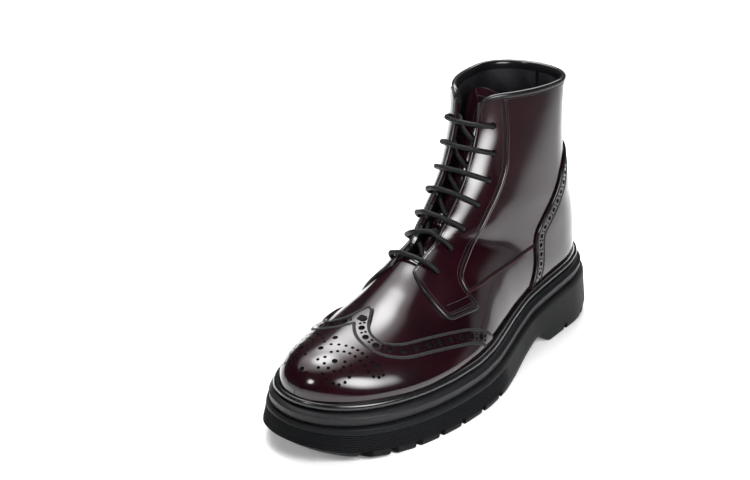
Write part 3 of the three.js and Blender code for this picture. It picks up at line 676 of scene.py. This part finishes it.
TOE_SIDE = [(-6, 60), (-200, 60), (-200, -90), (-68.5, -90)]
outline = np.array([*zip(wing_y, wing_reach), *TOE_SIDE])
held = in_outline(dense[:, 1], reach_of(dense), outline) & (dense[:, 1] < 0)
wing_cap = new_piece("wing_toe_cap", *layer(held, [wing_line], above_welt), oxblood,
                     "upper_leather", "wing_cap")


def inset(line, distance, spacing=1.0):
    """The line moved sideways over the last, without the points that crowd at its corners"""
    across = np.cross(outward(line), unit(np.gradient(line, axis=0)))
    moved = onto_last(line + across * distance, 4)
    good = distance_to(moved, line) > abs(distance) * 0.985 - 0.03
    return evenly(moved[good], spacing)


band_width, inwards, punch_depth = 10.4, -1, 1.4

# The rim of a round punch, for every hole's dished pin
bpy.ops.mesh.primitive_cylinder_add(vertices=14, radius=1, depth=1, location=(0, 0, 0))
punch = bpy.context.object
round_rim = sorted(((v.co.x, v.co.y) for v in punch.data.vertices if v.co.z > 0),
                   key=lambda c: math.atan2(c[1], c[0]))
bpy.data.objects.remove(punch)


def ring_rows(rings, count, start=0):
    """Numbers of the points in closed rings, one ring after another, and the quads between"""
    rows = start + np.arange(rings * count).reshape(rings, count)
    after = np.roll(rows, -1, axis=1)
    quads = np.stack([rows[:-1], after[:-1], after[1:], rows[1:]], -1)
    return rows, quads.reshape(-1, 4).tolist()


def rod_faces(rings, count, start=0):
    rows, faces = ring_rows(rings, count, start)
    return [*faces, rows[0, ::-1].tolist(), rows[-1].tolist()]


def punches(places, radii, depth, dish=0.28):
    """One solid pin for each hole, standing square to the last's surface"""
    normal = outward(places)
    side_way = unit(np.cross(normal, [0.3, 1, 0.2]))
    other = np.cross(normal, side_way)
    points, faces = [], []
    for p, n, u, v, r in zip(places, normal, side_way, other, radii):
        profile = (r + dish + 0.3, 0.35), (r + dish * 0.5, -0.18), (r, -0.5), (r, -depth)
        faces += rod_faces(len(profile), len(round_rim), len(points))
        for size, height in profile:
            points += [p + n * (layer_rise + height) + (u * c + v * s) * size
                       for c, s in round_rim]
    return points, faces


def cut_away(piece, points, faces, name="punch"):
    cutter = new_solid(name, points, faces, matte_black_and_shade, weld=False)
    select_only(piece)
    bpy.ops.object.modifier_add(type="BOOLEAN")
    cut = piece.modifiers[-1]
    cut.object, cut.operation = cutter, "DIFFERENCE"
    cut.solver, cut.material_mode = "EXACT", "TRANSFER"
    bpy.ops.object.modifier_apply(modifier=cut.name)
    bpy.data.objects.remove(cutter)
    bpy.ops.object.shade_smooth_by_angle(angle=math.radians(32))
    piece.select_set(False)


def band_holes(line, distance, apart, big, small, pitch, above):
    """Large holes along a band's middle, with a pair of small ones between each two"""
    middle = inset(line, distance, pitch)
    across = np.cross(outward(middle), unit(np.gradient(middle, axis=0)))
    between, sideways = ((k[:-1] + k[1:]) / 2 for k in (middle, across))
    places = onto_last(np.vstack([
        middle[1:-1], between + sideways * apart, between - sideways * apart]), 3)
    radii = np.array([big] * (len(middle) - 2) + [small] * 2 * len(between))
    dry = places[:, 2] > welt_z(places[:, 1]) + above
    return places[dry], radii[dry]


wing_places, wing_radii = band_holes(wing_line, inwards * 5.6, apart=1.35, big=2.0, small=0.72,
                                     pitch=9.1, above=3.5)
MEDALLION_BIG = [(14.2, -121.2), (32.8, -102.8)]
MEDALLION_SMALL = [
    (2.8, -111.6), (6.8, -108.8), (10.9, -106.7), (14.9, -105.2), (18.4, -104.4), (21.8, -104.1),
    (25.4, -104), (29, -103.6), (7.9, -117.2), (10.4, -114.1), (13.4, -111.6), (16.8, -110.1),
    (20.4, -109.4), (24.3, -109.3), (28, -109.6), (31.4, -110.1), (34.6, -109.2), (36.6, -106.4),
    (37.4, -103.2), (7.6, -122.6), (5.2, -126.4), (10.4, -126.4), (14.3, -127.2), (9.2, -130.4),
    (18.1, -126.4), (20.8, -123.6), (20.6, -120.4), (18.9, -117.2), (22.9, -116.2), (25.2, -118.4),
    (26.2, -121.8), (25.8, -125.4), (23.9, -128.7), (21, -131), (17.4, -132), (13.3, -131.8),
]
CENTRE_BIG = [(0, -104.6), (0, -118), (0, -135.2)]


toe_low, toe_high = 44, 76


def on_toe(places):
    x, y = np.array(places, float).T
    z = last_held(toe_low + 0 * x, toe_high + 0 * x,
                  lambda z: inside(np.column_stack([x, y, z])) > 0, 40)
    return np.column_stack([x, y, z])


def both_sides(places):
    return places + [(-x, y) for x, y in places]


big_holes, small_holes = both_sides(MEDALLION_BIG) + CENTRE_BIG, both_sides(MEDALLION_SMALL)
flower = on_toe(big_holes + small_holes)
flower_radii = [1.6] * len(big_holes) + [0.86] * len(small_holes)
cut_away(wing_cap, *punches(
    np.vstack([wing_places, flower]), [*wing_radii, *flower_radii], punch_depth))

# Thread and gimping
# Waxed polyester thread: each stitch is a short bead sunk at both ends. The gimped borders are
# flat black braids under two rows of slanted stitches.
bpy.ops.mesh.primitive_uv_sphere_add(segments=6, ring_count=5, radius=1, location=(0, 0, 0))
stitch = bpy.context.object
stitch_points = np.array([v.co[:] for v in stitch.data.vertices])
stitch_faces = [list(f.vertices) for f in stitch.data.polygons]
bpy.data.objects.remove(stitch)


def plain(name, tone, roughness, bump, scale, coat=0.0, shine=0.15):
    """A dull material, with one fine noise in its tone, its roughness and its surface"""
    material, tree, shader = new_material(name)
    where = new_node(tree, "TexCoord")
    noise = new_node(tree, "TexNoise", {"Scale": scale, "Detail": 5})
    ramp = new_node(tree, "ValToRGB")
    for end, position, share in zip(ramp.color_ramp.elements, (0.35, 0.7), (0.7, 1.3)):
        end.position = position
        end.color = (*[t * share for t in tone], 1)
    bumps = new_node(tree, "Bump", {"Strength": bump, "Distance": 0.0005})
    rough = new_node(tree, "MapRange", {"To Min": roughness - 0.08, "To Max": roughness + 0.08})
    wire(
        tree, (where, "Object", noise, "Vector"), (noise, "Fac", ramp, "Fac"),
        (noise, "Fac", bumps, "Height"), (noise, "Fac", rough, "Value"),
        (ramp, "Color", shader, "Base Color"), (rough, "Result", shader, "Roughness"),
        (bumps, "Normal", shader, "Normal"),
    )
    put(shader, {"Coat Weight": coat, "Coat Roughness": 0.15, "Specular IOR Level": shine})
    return material


thread = plain("black_thread", (0.012, 0.0123, 0.0135), 0.3, 0.4, 2500, 0.4)
ribbon = plain("black_gimp_braid", (0.006, 0.006, 0.0068), 0.45, 0.8, 1800)


def stitched(line, out, pitch=1.9, long=1.5, thick=0.55, slant=0.0):
    """A row of stitches along a line on the last: points and faces"""
    p = evenly(line, pitch)
    centre = (p[:-1] + p[1:]) / 2
    run = unit(p[1:] - p[:-1])
    normal = outward(centre)
    run = run * math.cos(slant) + np.cross(normal, run) * math.sin(slant)
    across = np.cross(normal, run)
    size = len(stitch_points)
    points = (skin(centre, out)[:, None, :] + run[:, None, :] * stitch_points[:, 0, None] * long / 2
              + across[:, None, :] * stitch_points[:, 1, None] * thick / 2
              + normal[:, None, :] * stitch_points[:, 2, None] * thick / 2).reshape(-1, 3)
    faces = [[i + size * k for i in f] for k in range(len(centre)) for f in stitch_faces]
    return points, faces


def sewn(name, *rows, material=thread):
    """One piece from several rows of thread"""
    points, faces, start = [], [], 0
    for p, f in rows:
        points.append(p)
        faces += [[i + start for i in face] for face in f]
        start += len(p)
    new_piece(name, np.vstack(points), faces, material, "lace_cord", smooth=60)


def tube(line, radius, sides=8, squash=1.0, normals=None):
    line = np.asarray(line, float)
    run = unit(np.gradient(line, axis=0))
    if normals is None:
        normals, up = [], np.cross(run[0], [0.3, 0.2, 1])
        for t in run:
            up = up - t * up.dot(t)
            up = up / np.linalg.norm(up)
            normals.append(up)
        normals = np.array(normals)
    across = np.cross(run, normals)
    turn = np.linspace(0, 2 * math.pi, sides, endpoint=False)
    size = np.broadcast_to(radius, len(line))[:, None, None]
    points = line[:, None, :] + size * (
        np.cos(turn)[None, :, None] * across[:, None, :]
        + squash * np.sin(turn)[None, :, None] * normals[:, None, :])
    return points.reshape(-1, 3), rod_faces(len(line), sides)


def rolled(name, line, out, radius, material, squash=1.0, sides=8, slot="lace_cord"):
    """A roll, seam or groove along a line on the last"""
    new_piece(name, *tube(skin(line, out), radius, sides, squash, outward(line)), material, slot,
              smooth=60)


def dry_part(line, above=1.0):
    return line[line[:, 2] > welt_z(line[:, 1]) + above]


def gimped(name, line, rows, thick, braids):
    """Rows of slanted stitches beside a line, on flat braids"""
    sewn(f"{name}_gimp_stitches", *(
        stitched(dry_part(inset(line, inwards * distance)), layer_rise + 0.1, pitch=1.25,
                 long=1.5, thick=thick, slant=slant) for distance, slant in rows))
    under_rows = [(dry_part(inset(line, inwards * distance)), half) for distance, half in braids]
    sewn(f"{name}_gimp_braid", *(
        tube(skin(row, layer_rise), half, 8, 0.2, outward(row)) for row, half in under_rows),
        material=ribbon)


gimped("wing", wing_line, [(0.75, 0.5), (1.75, -0.5), (band_width - 0.5, 0.5),
                           (band_width + 0.5, -0.5)], 0.75, [(1.2, 0.95), (band_width, 1.15)])

# Heel counter
# A layer of calf round the heel, with a punched band along its front edge between two braids.
COUNTER = [
    (57, 30), (62, 44.5), (67.6, 52.8), (71.8, 63.6), (73, 76.3), (75, 83.8), (81.3, 91.4),
    (91, 101.7), (97.6, 112.5), (102.8, 123.1), (110, 132), (120, 138.5), (131, 142),
]
counter_y, counter_z = flat_curve(COUNTER)
on_last = counter_y < shaft_back(counter_z) - 0.4
counter_y, counter_z = counter_y[on_last], counter_z[on_last]
tip = np.array([[0.0, shaft_back(142.0), 142.0]])
halves = {side: from_side(counter_y, counter_z, side) for side in (1, -1)}
around = curve_through([halves[1][-1], *onto_last(tip), halves[-1][-1]], 1)
counter_line = np.vstack([halves[1], around[1:-1], halves[-1][::-1]])
outline = np.array([*zip(counter_y, counter_z), (127, 142), (200, 142), (200, 30)])
held = in_outline(dense[:, 1], dense[:, 2], outline)
counter = new_piece("heel_counter", *layer(held, [counter_line], above_welt), oxblood,
                    "upper_leather", "counter")
counter_band = 8.4
places, radii = band_holes(counter_line, inwards * 4.7, apart=1.15, big=1.4, small=0.5,
                           pitch=7.0, above=3)
cut_away(counter, *punches(places, radii, punch_depth))
gimped("counter", counter_line, [(0.7, -0.5), (1.6, 0.5), (counter_band - 0.4, 0.5),
                                 (counter_band + 0.5, 0.5)], 0.7,
       [(1.15, 0.85), (counter_band, 0.85)])
rolled("counter_edge", dry_part(inset(counter_line, inwards * -0.2)), 0.85, 0.7, matte_black_and_shade,
       squash=0.9)

# Eyelet facings
# Each facing is a layer of calf with a tab at its foot, bound in black along the throat and the
# tab, with seven punched holes. Its rear edge meets the quarter in a raised welted seam.
REAR_SEAM = [
    (46.2, -126), (46.5, -118), (47, -108.6), (46.7, -98.4), (45.4, -90.6), (44, -82.7),
    (39.7, -75.5), (33.1, -68.6), (26.5, -63.7), (19.9, -58.6), (11.5, -53), (-1.7, -45.7),
    (-10.1, -40.5), (-14.2, -36.5), (-15.9, -31), (-15.5, -25.8),
]
TAB_REAR = [(-15.5, -25.8), (-12.1, -14.6)]
TAB_FOOT = [(-12.1, -14.2), (-13.2, -13.4), (-26.1, -14.4), (-36.4, -15.5)]
FRONT_EDGE = [
    (-36.4, -15.5), (-39.2, -18), (-41.2, -24.9), (-41.6, -36.7), (-39.4, -47.9), (-36, -55.5),
    (-31, -62),
]
EYELETS = [
    (39.9, 169.9), (37.3, 151.5), (31.2, 133.7), (19.6, 119.5), (5.5, 106.4), (-8.5, 95.8),
    (-27, 87),
]
TAB_STITCHES = [
    [(-35.5, -24.5), (-25, -23.2), (-15.6, -22.8)], [(-36.6, -18.2), (-26, -17), (-14.6, -16.6)],
    [(-36.8, -19.4), (-26, -18.3), (-14.9, -17.9)],
]
QUARTER_SEAM = [(-15.5, 72.9), (12.3, 73.3), (47.2, 72.7), (73, 74.4)]
eyelet_hole = 2.3
throat_edge = throat_half + 0.3


def front_at(planes, r, x):
    """The last's front at a distance from the middle, in the planes' rows r"""
    top, low = plane_row(planes, r)
    start = low + (top - low) * ridge_from
    return np.column_stack([x, last_between(start, top, lambda p: half_at(p, x) > x * x)])


def along_throat(x):
    """The line on the last that keeps one distance from the middle, up the front"""
    planes = np.array([PLANES[9], *PLANES[9:]], float)
    r = np.linspace(0, len(planes) - 1, 220)
    return onto_last(front_at(planes, r, np.full(len(r), float(x))), 3)


def reach_curve(rows, side):
    return from_reach(*flat_curve(rows, 1.0), side)


def below_collar(p):
    return collar_z(p[:, 1]) - 1.2 - p[:, 2]


def cut_below(line, gap):
    return line[line[:, 2] < collar_z(line[:, 1]) - gap]


for side, name in ((1, "lateral"), (-1, "medial")):
    rim_rows = REAR_SEAM, TAB_REAR, TAB_FOOT, FRONT_EDGE
    seam, tab_rear, foot, front = (reach_curve(rows, side) for rows in rim_rows)
    throat = along_throat(side * throat_edge)
    throat = cut_below(throat[throat[:, 1] > -35.6], -2)
    front = front[np.abs(front[:, 0]) > throat_edge]
    rim = np.vstack([*(flat_curve(rows).T for rows in rim_rows), (-27, -75), (20, -135)])
    held = in_outline(dense[:, 1], reach_of(dense), rim) & (dense[:, 0] * side > throat_edge)
    facing = new_piece(
        f"facing_{name}_leather", *layer(held, [seam, tab_rear, foot, front, throat], below_collar),
        oxblood, "upper_leather", f"facing_{name}")
    holes = from_side(*np.array(EYELETS, float).T, side)
    for piece, depth, dish in ((facing, 3, 0.2), (upper, 6, 0.0)):
        cut_away(piece, *punches(holes, [eyelet_hole] * len(holes), depth, dish))

    # Black binding rolled over the edge at the throat, the front and the tab's foot
    edge = np.vstack([throat[::-1], front[::-1], foot[::-1], tab_rear[::-1]])
    edge = onto_last(evenly(edge, 1.2), 2)
    places = [0, len(throat) * 0.8, len(edge) - 40, len(edge) - 12, len(edge)]
    thick = np.interp(np.arange(len(edge)), places, [1.0, 1.05, 1.4, 1.3, 0.8])
    rolled(f"facing_{name}_binding", edge, 0.95, thick, black_edge, sides=10)

    # Piped seam behind the facing, and the plain seam that runs back to the counter
    lowered = evenly(seam, 1.2)
    piping = cut_below(inset(lowered, side * 1.15), 3)
    rolled(f"facing_{name}_piping", piping, 0.35, 1.6, oxblood, sides=12,
           slot="upper_leather")
    # Painted shade: a matte black cord in the groove between the facing's edge and the piping
    # stands in for the shade in that groove.
    groove = cut_below(inset(lowered, side * -0.35), 3)
    rolled(f"facing_{name}_groove", groove, 1.35, 0.9, matte_black_and_shade, squash=0.8)
    quarter = from_side(*flat_curve(QUARTER_SEAM), side)
    # Painted shade: a flat matte black strip along the quarter seam stands in for the shade in its
    # gap.
    rolled(f"quarter_{name}_seam_gap_shade", quarter, 0.05, 0.8, matte_black_and_shade, squash=0.4)
    beside = onto_last(quarter + np.array([0, 0, -1.3]), 3)
    rolled(f"quarter_{name}_seam_fold", beside, -0.35, 1.0, turned, squash=0.8, sides=10,
           slot="upper_leather")

    # Stitches along the binding, across the tab and behind the seam
    rows = [inset(edge, side * 2.1), *(reach_curve(rows, side) for rows in TAB_STITCHES)]
    seam_row = cut_below(inset(lowered, side * -2.6), 6)
    sewn(f"facing_{name}_stitches",
         *(stitched(dry_part(row), layer_rise + 0.06, long=1.55) for row in rows),
         stitched(seam_row, layer_rise + 0.04, thick=0.5))

# Collar binding
# Thin black calf folded over the top line and sewn through, open at the throat.
COLLAR_ROLL = [
    (0.05, -1.9), (0.6, -2.0), (0.8, -1.7), (0.95, -0.9), (1.0, 0), (0.85, 0.7), (0.35, 1.25),
    (-0.4, 1.45), (-1.4, 1.45), (-2.3, 1.1), (-2.9, 0.3), (-3.1, -1.0), (-3.1, -4.4), (-2.9, -4.8),
    (-2.3, -4.7),
]


def collar_row(dz, count=90):
    """One line round the collar, from the throat's outer side to its inner side"""
    front_y, end = 36.0, shaft_back(COLLAR[-1][1] + dz)
    y = front_y + (end - front_y) * (1 - np.cos(np.pi * np.linspace(0, 1, count))) / 2
    y = np.minimum(y, end - 1e-4)
    outer, inner = (from_side(y, collar_z(y) + dz, side) for side in (1, -1))
    return np.vstack([outer, inner[::-1][1:]])


loops = np.stack([skin(collar_row(dz), out) for out, dz in COLLAR_ROLL], 1)
new_piece("collar_roll", loops.reshape(-1, 3), rod_faces(*loops.shape[:2]), black_edge,
          "lining_leather", "collar_binding", smooth=60)
sewn("collar_stitches", stitched(collar_row(-3.0), 0.1, pitch=2.0, long=1.6))

# Tongue
# Calf, sewn under the throat's foot and free at the sides and at the top, where it leans back
# into the collar.
tongue_depth, tongue_wall, tongue_lean, tongue_top = 8.2, 2.0, 10.5, 191
tongue_rise, lean_from, lean_over, tongue_half, tongue_round = 2.5, 158, 32, 23, 0.004
r = np.linspace(11.0, 21.6, 112)
across = np.linspace(-tongue_half, tongue_half, 37)
middle = len(across) // 2
rows = front_at(np.array(PLANES, float), np.repeat(r, len(across)), np.tile(across, len(r)))
tongue_base = onto_last(rows, 2)
down = np.clip((tongue_base[:, 1] + 33) / 16, 0, 1)
tongue_out = -tongue_rise - (tongue_depth - tongue_rise) * down * down * (3 - 2 * down)
tongue_back = tongue_lean * np.clip((tongue_base[:, 2] - lean_from) / lean_over, 0, 1) ** 2
quads = grid_quads(len(r), len(across))
rounded_top = tongue_top - tongue_round * tongue_base[quads, 0].mean(1) ** 2
quads = quads[tongue_base[quads, 2].max(1) < rounded_top]
top = tongue_base + outward(tongue_base) * tongue_out[:, None]
low = tongue_base + outward(tongue_base) * (tongue_out - tongue_wall)[:, None]
for sheet in (top, low):
    sheet[:, 1] += tongue_back
quads, sheets = used_only(quads, top, low)
new_piece("tongue_leather", *shell(quads, *sheets), oxblood, "upper_leather", "tongue")

# Its hem is sewn across below the top, and a small keeper for the lace sits on its middle
level = tongue_base.reshape(len(r), len(across), 3)


def row_at(z):
    return np.argmin(np.abs(level[:, middle, 2] - z))


hem = row_at(tongue_top - 5.5) * len(across) + middle
hem_row = level[hem // len(across), 3:-3]
hem_points, hem_faces = stitched(hem_row, tongue_out[hem] + 0.1)
hem_points[:, 1] += tongue_back[hem]
keeper_foot, keeper_head, keeper_half = 110.5, 118.5, 5
keeper_ends = sorted([row_at(keeper_foot), row_at(keeper_head)])
keeper_rows = np.arange(keeper_ends[0], keeper_ends[1] + 1)
keeper_columns = np.arange(middle - keeper_half, middle + keeper_half + 1)
keeper_base = level[np.ix_(keeper_rows, keeper_columns)].reshape(-1, 3)
u = np.abs(np.linspace(-1, 1, len(keeper_columns)))
v = np.abs(np.linspace(-1, 1, len(keeper_rows)))
bulge = np.outer(np.sqrt(1 - v ** 6), 0.7 + 0.8 * (1 - u ** 4)).ravel()
quads = grid_quads(len(keeper_rows), len(keeper_columns))
keeper = shell(np.vstack([quads[:, :3], quads[:, [0, 2, 3]]]),
               skin(keeper_base, -tongue_depth + 0.1 + bulge),
               skin(keeper_base, -tongue_depth + 0.05))
new_piece("lace_keeper", *keeper, oxblood, "upper_leather", smooth=60)
sewn("tongue_stitches", (hem_points, hem_faces), *(
    stitched(level[keeper_rows, column], -tongue_depth + 0.9, pitch=1.5, long=1.2, thick=0.5)
    for column in keeper_columns[[0, -1]]))

# Lace
# One round waxed cord: straight bars over the throat, down through each hole, and slanting
# crossings under the facings. Its ends lie inside the top holes.
lace_radius = 1.7
lift = clear + overlay + lace_radius + 3 * clear
under = -wall - 3.7 * clear - lace_radius


def at_eyelet(row, side, out):
    p = from_side([row[0]], [row[1]], side)
    return (p + outward(p) * out)[0]


def across_throat(row, side, share, out):
    """A place over the throat, level with a hole and pushed out to the last's surface"""
    x, start = share * throat_half, np.array(row, float)
    push = unit((at_eyelet(row, side, 1) - at_eyelet(row, side, 0))[None, 1:])[0]

    def holds(t):
        return half_square(*(start + push * t), side) > x * x

    p = onto_last(np.array([[side * x, *(start + push * last_held(0.0, 60.0, holds, 40))]]), 2)
    return (p + outward(p) * out)[0]


def over_from(row, side):
    """Up through the hole and over the facing's edge to the middle"""
    return [at_eyelet(row, side, under), at_eyelet(row, side, clear + 1.4 * overlay),
            across_throat(row, side, 1.5, lift + clear * 1.6),
            across_throat(row, side, 1.1, lift), across_throat(row, side, 0.55, lift)]


CROSSING = [(0.22, -1, 1.1), (0.39, -1, 0.45), (0.61, 1, 0.45), (0.78, 1, 1.1)]
lace_path = []
for row, after in zip(np.array(EYELETS), [*np.array(EYELETS[1:]), None]):
    lace_path += over_from(row, 1) + over_from(row, -1)[::-1]
    if after is not None:
        lace_path += [across_throat(row + (after - row) * part, side, share, under)
                      for part, side, share in CROSSING]
waxed = plain("waxed_black_cord", (0.005, 0.0056, 0.0057), 0.45, 0.9, 1400)
new_piece("lace_cord", *tube(evenly(curve_through(lace_path, 0.8), 0.9), lace_radius, 14), waxed,
          "lace_cord", "lace", smooth=60)

# Sole
# Moulded black rubber: a ribbed outsole with lugs and a heel, a smooth band above a groove,
# and a round glossy bead at the upper's foot.
UNDERSIDE = [
    (153, 3), (144, 0), (76, 0), (57, 10), (44, 8), (26, 4), (8, 0.8), (-4, 0), (-92, 0),
    (-110, 1.2), (-126, 3), (-142, 6.5), (-156, 11),
]
SOLE_EDGE = [
    (152.5, 0, 0), (151.5, 10, 10), (147.5, 22, 21.5), (139, 33.5, 32.8), (126, 41.2, 40),
    (108, 45, 43.5), (85, 46, 43), (60, 47, 41), (35, 52, 42), (10, 59, 45.5), (-12, 64.5, 49.5),
    (-32, 66.5, 52.5), (-52, 66, 54.5), (-72, 63.5, 54.5), (-90, 59.5, 53), (-108, 53.5, 50),
    (-124, 46, 44.5), (-138, 36, 36), (-147, 26, 27), (-153, 14, 15), (-155.5, 0, 0),
]
LUGS = [
    (-126, 28), (-110, 20), (-93, 13), (-75, 7), (-56, 1), (-35, -4), (-14, -8), (96, 0),
    (122, -12),
]
bead_height, band_height, lug_depth, lug_width, lug_reach = 6, 9, 4.6, 3.8, 15
side_lean, end_lean, band_step, end_step, bead_step = 1.2, 2.8, 3.8, 2.4, 7
sole_toe, sole_heel, rib_end, rib_fade = -155.5, 152.5, 8, 30
edge_square = {1: through(SOLE_EDGE, 1, 2), -1: through(SOLE_EDGE, 2, 2)}
underside_z = through(UNDERSIDE, 1)
turn = np.linspace(0, np.pi, 171)
stations = sole_toe + (sole_heel - sole_toe) * (1 - np.cos(turn)) / 2
for corner in (76, 57, 144, -4, -92):
    stations[np.argmin(np.abs(stations - corner))] = corner


def sole_ring(drawn, height):
    """The sole's outline drawn in by some way, at a height along its length"""
    half = {}
    for side in (1, -1):
        def half_width(at):
            return np.sqrt(np.maximum(edge_square[side](at), 0))

        y = np.clip(stations, sole_toe + 0.01, sole_heel - 0.01)
        ahead, behind = np.minimum(y + 0.5, sole_heel), np.maximum(y - 0.5, sole_toe)
        slope = (half_width(ahead) - half_width(behind)) / (ahead - behind)
        size = np.sqrt(1 + slope ** 2)
        amount = drawn(y)
        px = np.maximum(half_width(y) - amount / size, 0.0)
        py = y + slope * amount / size
        half[side] = np.column_stack([side * px, py, height(py)])
    return np.vstack([half[1], half[-1][::-1]])


def rings_body(rings):
    """A solid of rings, closed below and above by strips from side to side"""
    rows, faces = ring_rows(len(rings), len(rings[0]))
    for i in range(rows.shape[1] // 2 - 1):
        faces += [rows[0, [i, -1 - i, -2 - i, i + 1]].tolist(),
                  rows[-1, [i, i + 1, -2 - i, -1 - i]].tolist()]
    return np.vstack(rings), faces


def sole_top(y):
    return welt_z(y) - bead_height - band_height


def share(part):
    return lambda y: underside_z(y) + (sole_top(y) - underside_z(y)) * part


def toe_end(y):
    return np.maximum(0, (-110 - y) / 45) ** 2


def ends(y):
    return toe_end(y) + np.maximum(0, (y - 118) / 35) ** 2


def leaning(part, more=0.0):
    """How far the outsole's side leans in, from nothing near its foot to all at its top"""
    t = min(max((part - 0.3) / 0.52, 0), 1)
    return lambda y: (side_lean + end_lean * ends(y)) * t + more


def rib_depth(y):
    """The ribs fade out behind the ball of the foot"""
    fade = np.clip((rib_end - y) / rib_fade, 0, 1)
    return fade * fade * (3 - 2 * fade)


rubber = plain("black_rubber", (0.0075, 0.008, 0.0088), 0.5, 0.25, 900, 0, 0.08)
band_rubber = plain("smooth_black_rubber", (0.008, 0.0083, 0.0095), 0.42, 0.08, 500, 0, 0.24)
gloss_rubber = plain("glossy_black_welt", (0.008, 0.008, 0.009), 0.24, 0.04, 300, 0.7)
FOOT_EDGE = [(1.9, 7.5, 0), (1.2, 7, 0.008), (0.6, 5.4, 0.05), (0.3, 3.4, 0.12), (0.15, 1.4, 0.2)]
RIB = [(0.0, 1), (0.3, 0.12), (0.5, 0), (0.7, 0.12)]
TOP_EDGE = [(0.87, 0), (0.92, 0.15), (0.965, 0.5), (0.99, 1.0), (1, 1.7)]
rib_count, rib_foot, ribs_high = 10, 0.24, 0.6
rings = [sole_ring(lambda y: more + at_ends * ends(y), share(part))
         for more, at_ends, part in FOOT_EDGE]
for i in range(rib_count):
    for part, dent in RIB:
        at = rib_foot + ribs_high * (i + part) / rib_count
        rings.append(sole_ring(lambda y: leaning(at)(y) + rib_depth(y) * dent, share(at)))
rings += [sole_ring(leaning(1, more), share(part)) for part, more in TOP_EDGE]
outsole = new_piece("outsole_rubber", *rings_body(rings), rubber, "sole_rubber", "outsole",
                    smooth=28)

# Notches between the lugs, cut into the outsole's lower edge from each side
groove_foot, groove_head, groove_high = 1.45, 0.95, 1.2
BOX = [(dx, dy, dz) for dz in (-1, 1) for dx, dy in ((-1, -1), (1, -1), (1, 1), (-1, 1))]
points, faces = [], []
for y, slant in LUGS:
    for side in (1, -1):
        x = math.sqrt(float(edge_square[side](y)))
        a = math.radians(side * slant)
        faces += rod_faces(2, 4, len(points))
        for dx, dy, dz in BOX:
            wide = lug_width / 2 * (groove_head if dz > 0 else groove_foot)
            u, v = dx * lug_reach, dy * wide
            points.append((side * x + u * math.cos(a) - v * math.sin(a),
                           y + u * math.sin(a) + v * math.cos(a),
                           float(underside_z(y)) + dz * lug_depth * groove_high))
cut_away(outsole, points, faces, "lug_groove")


def ledge_z(y):
    return welt_z(y) - bead_height


def stepped_in(more):
    return lambda y: band_step + more + end_step * ends(y)


def bead_in(more):
    return lambda y: bead_step + more + 2 * toe_end(y)


BAND = [
    (2.8, sole_top, clear), (1.2, sole_top, 0.5), (0.6, sole_top, 1.1), (0.25, sole_top, 2.0),
    (0, ledge_z, -2.6), (0.05, ledge_z, -2.3), (0.3, ledge_z, -2.05), (1.7, ledge_z, -1.0),
    (2.7, ledge_z, -0.35), (3.4, ledge_z, 0),
]
band = [sole_ring(stepped_in(more), lambda y: line(y) + rise) for more, line, rise in BAND]
new_piece("midsole_band", *rings_body(band), band_rubber, "sole_rubber", "midsole", smooth=50)
bead_wide, bead_high, bead_middle = 2.9, 2.8, 3.1
bead = [(bead_wide - bead_wide * math.cos(a), bead_middle + bead_high * math.sin(a))
        for a in map(math.radians, np.linspace(-100, 115, 15))]
bead = [sole_ring(bead_in(more), lambda y: ledge_z(y) + rise)
        for more, rise in (*bead, (5.9, 4.4), (9.5, 3.2))]
new_piece("welt_bead", *rings_body(bead), gloss_rubber, "welt_gloss", "welt", smooth=50)

# Insole
# Board with a thin black calf sock glued on it, seen only through the collar.
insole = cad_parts["insole"]
insole.data.materials.clear()
insole.data.materials.append(lining)
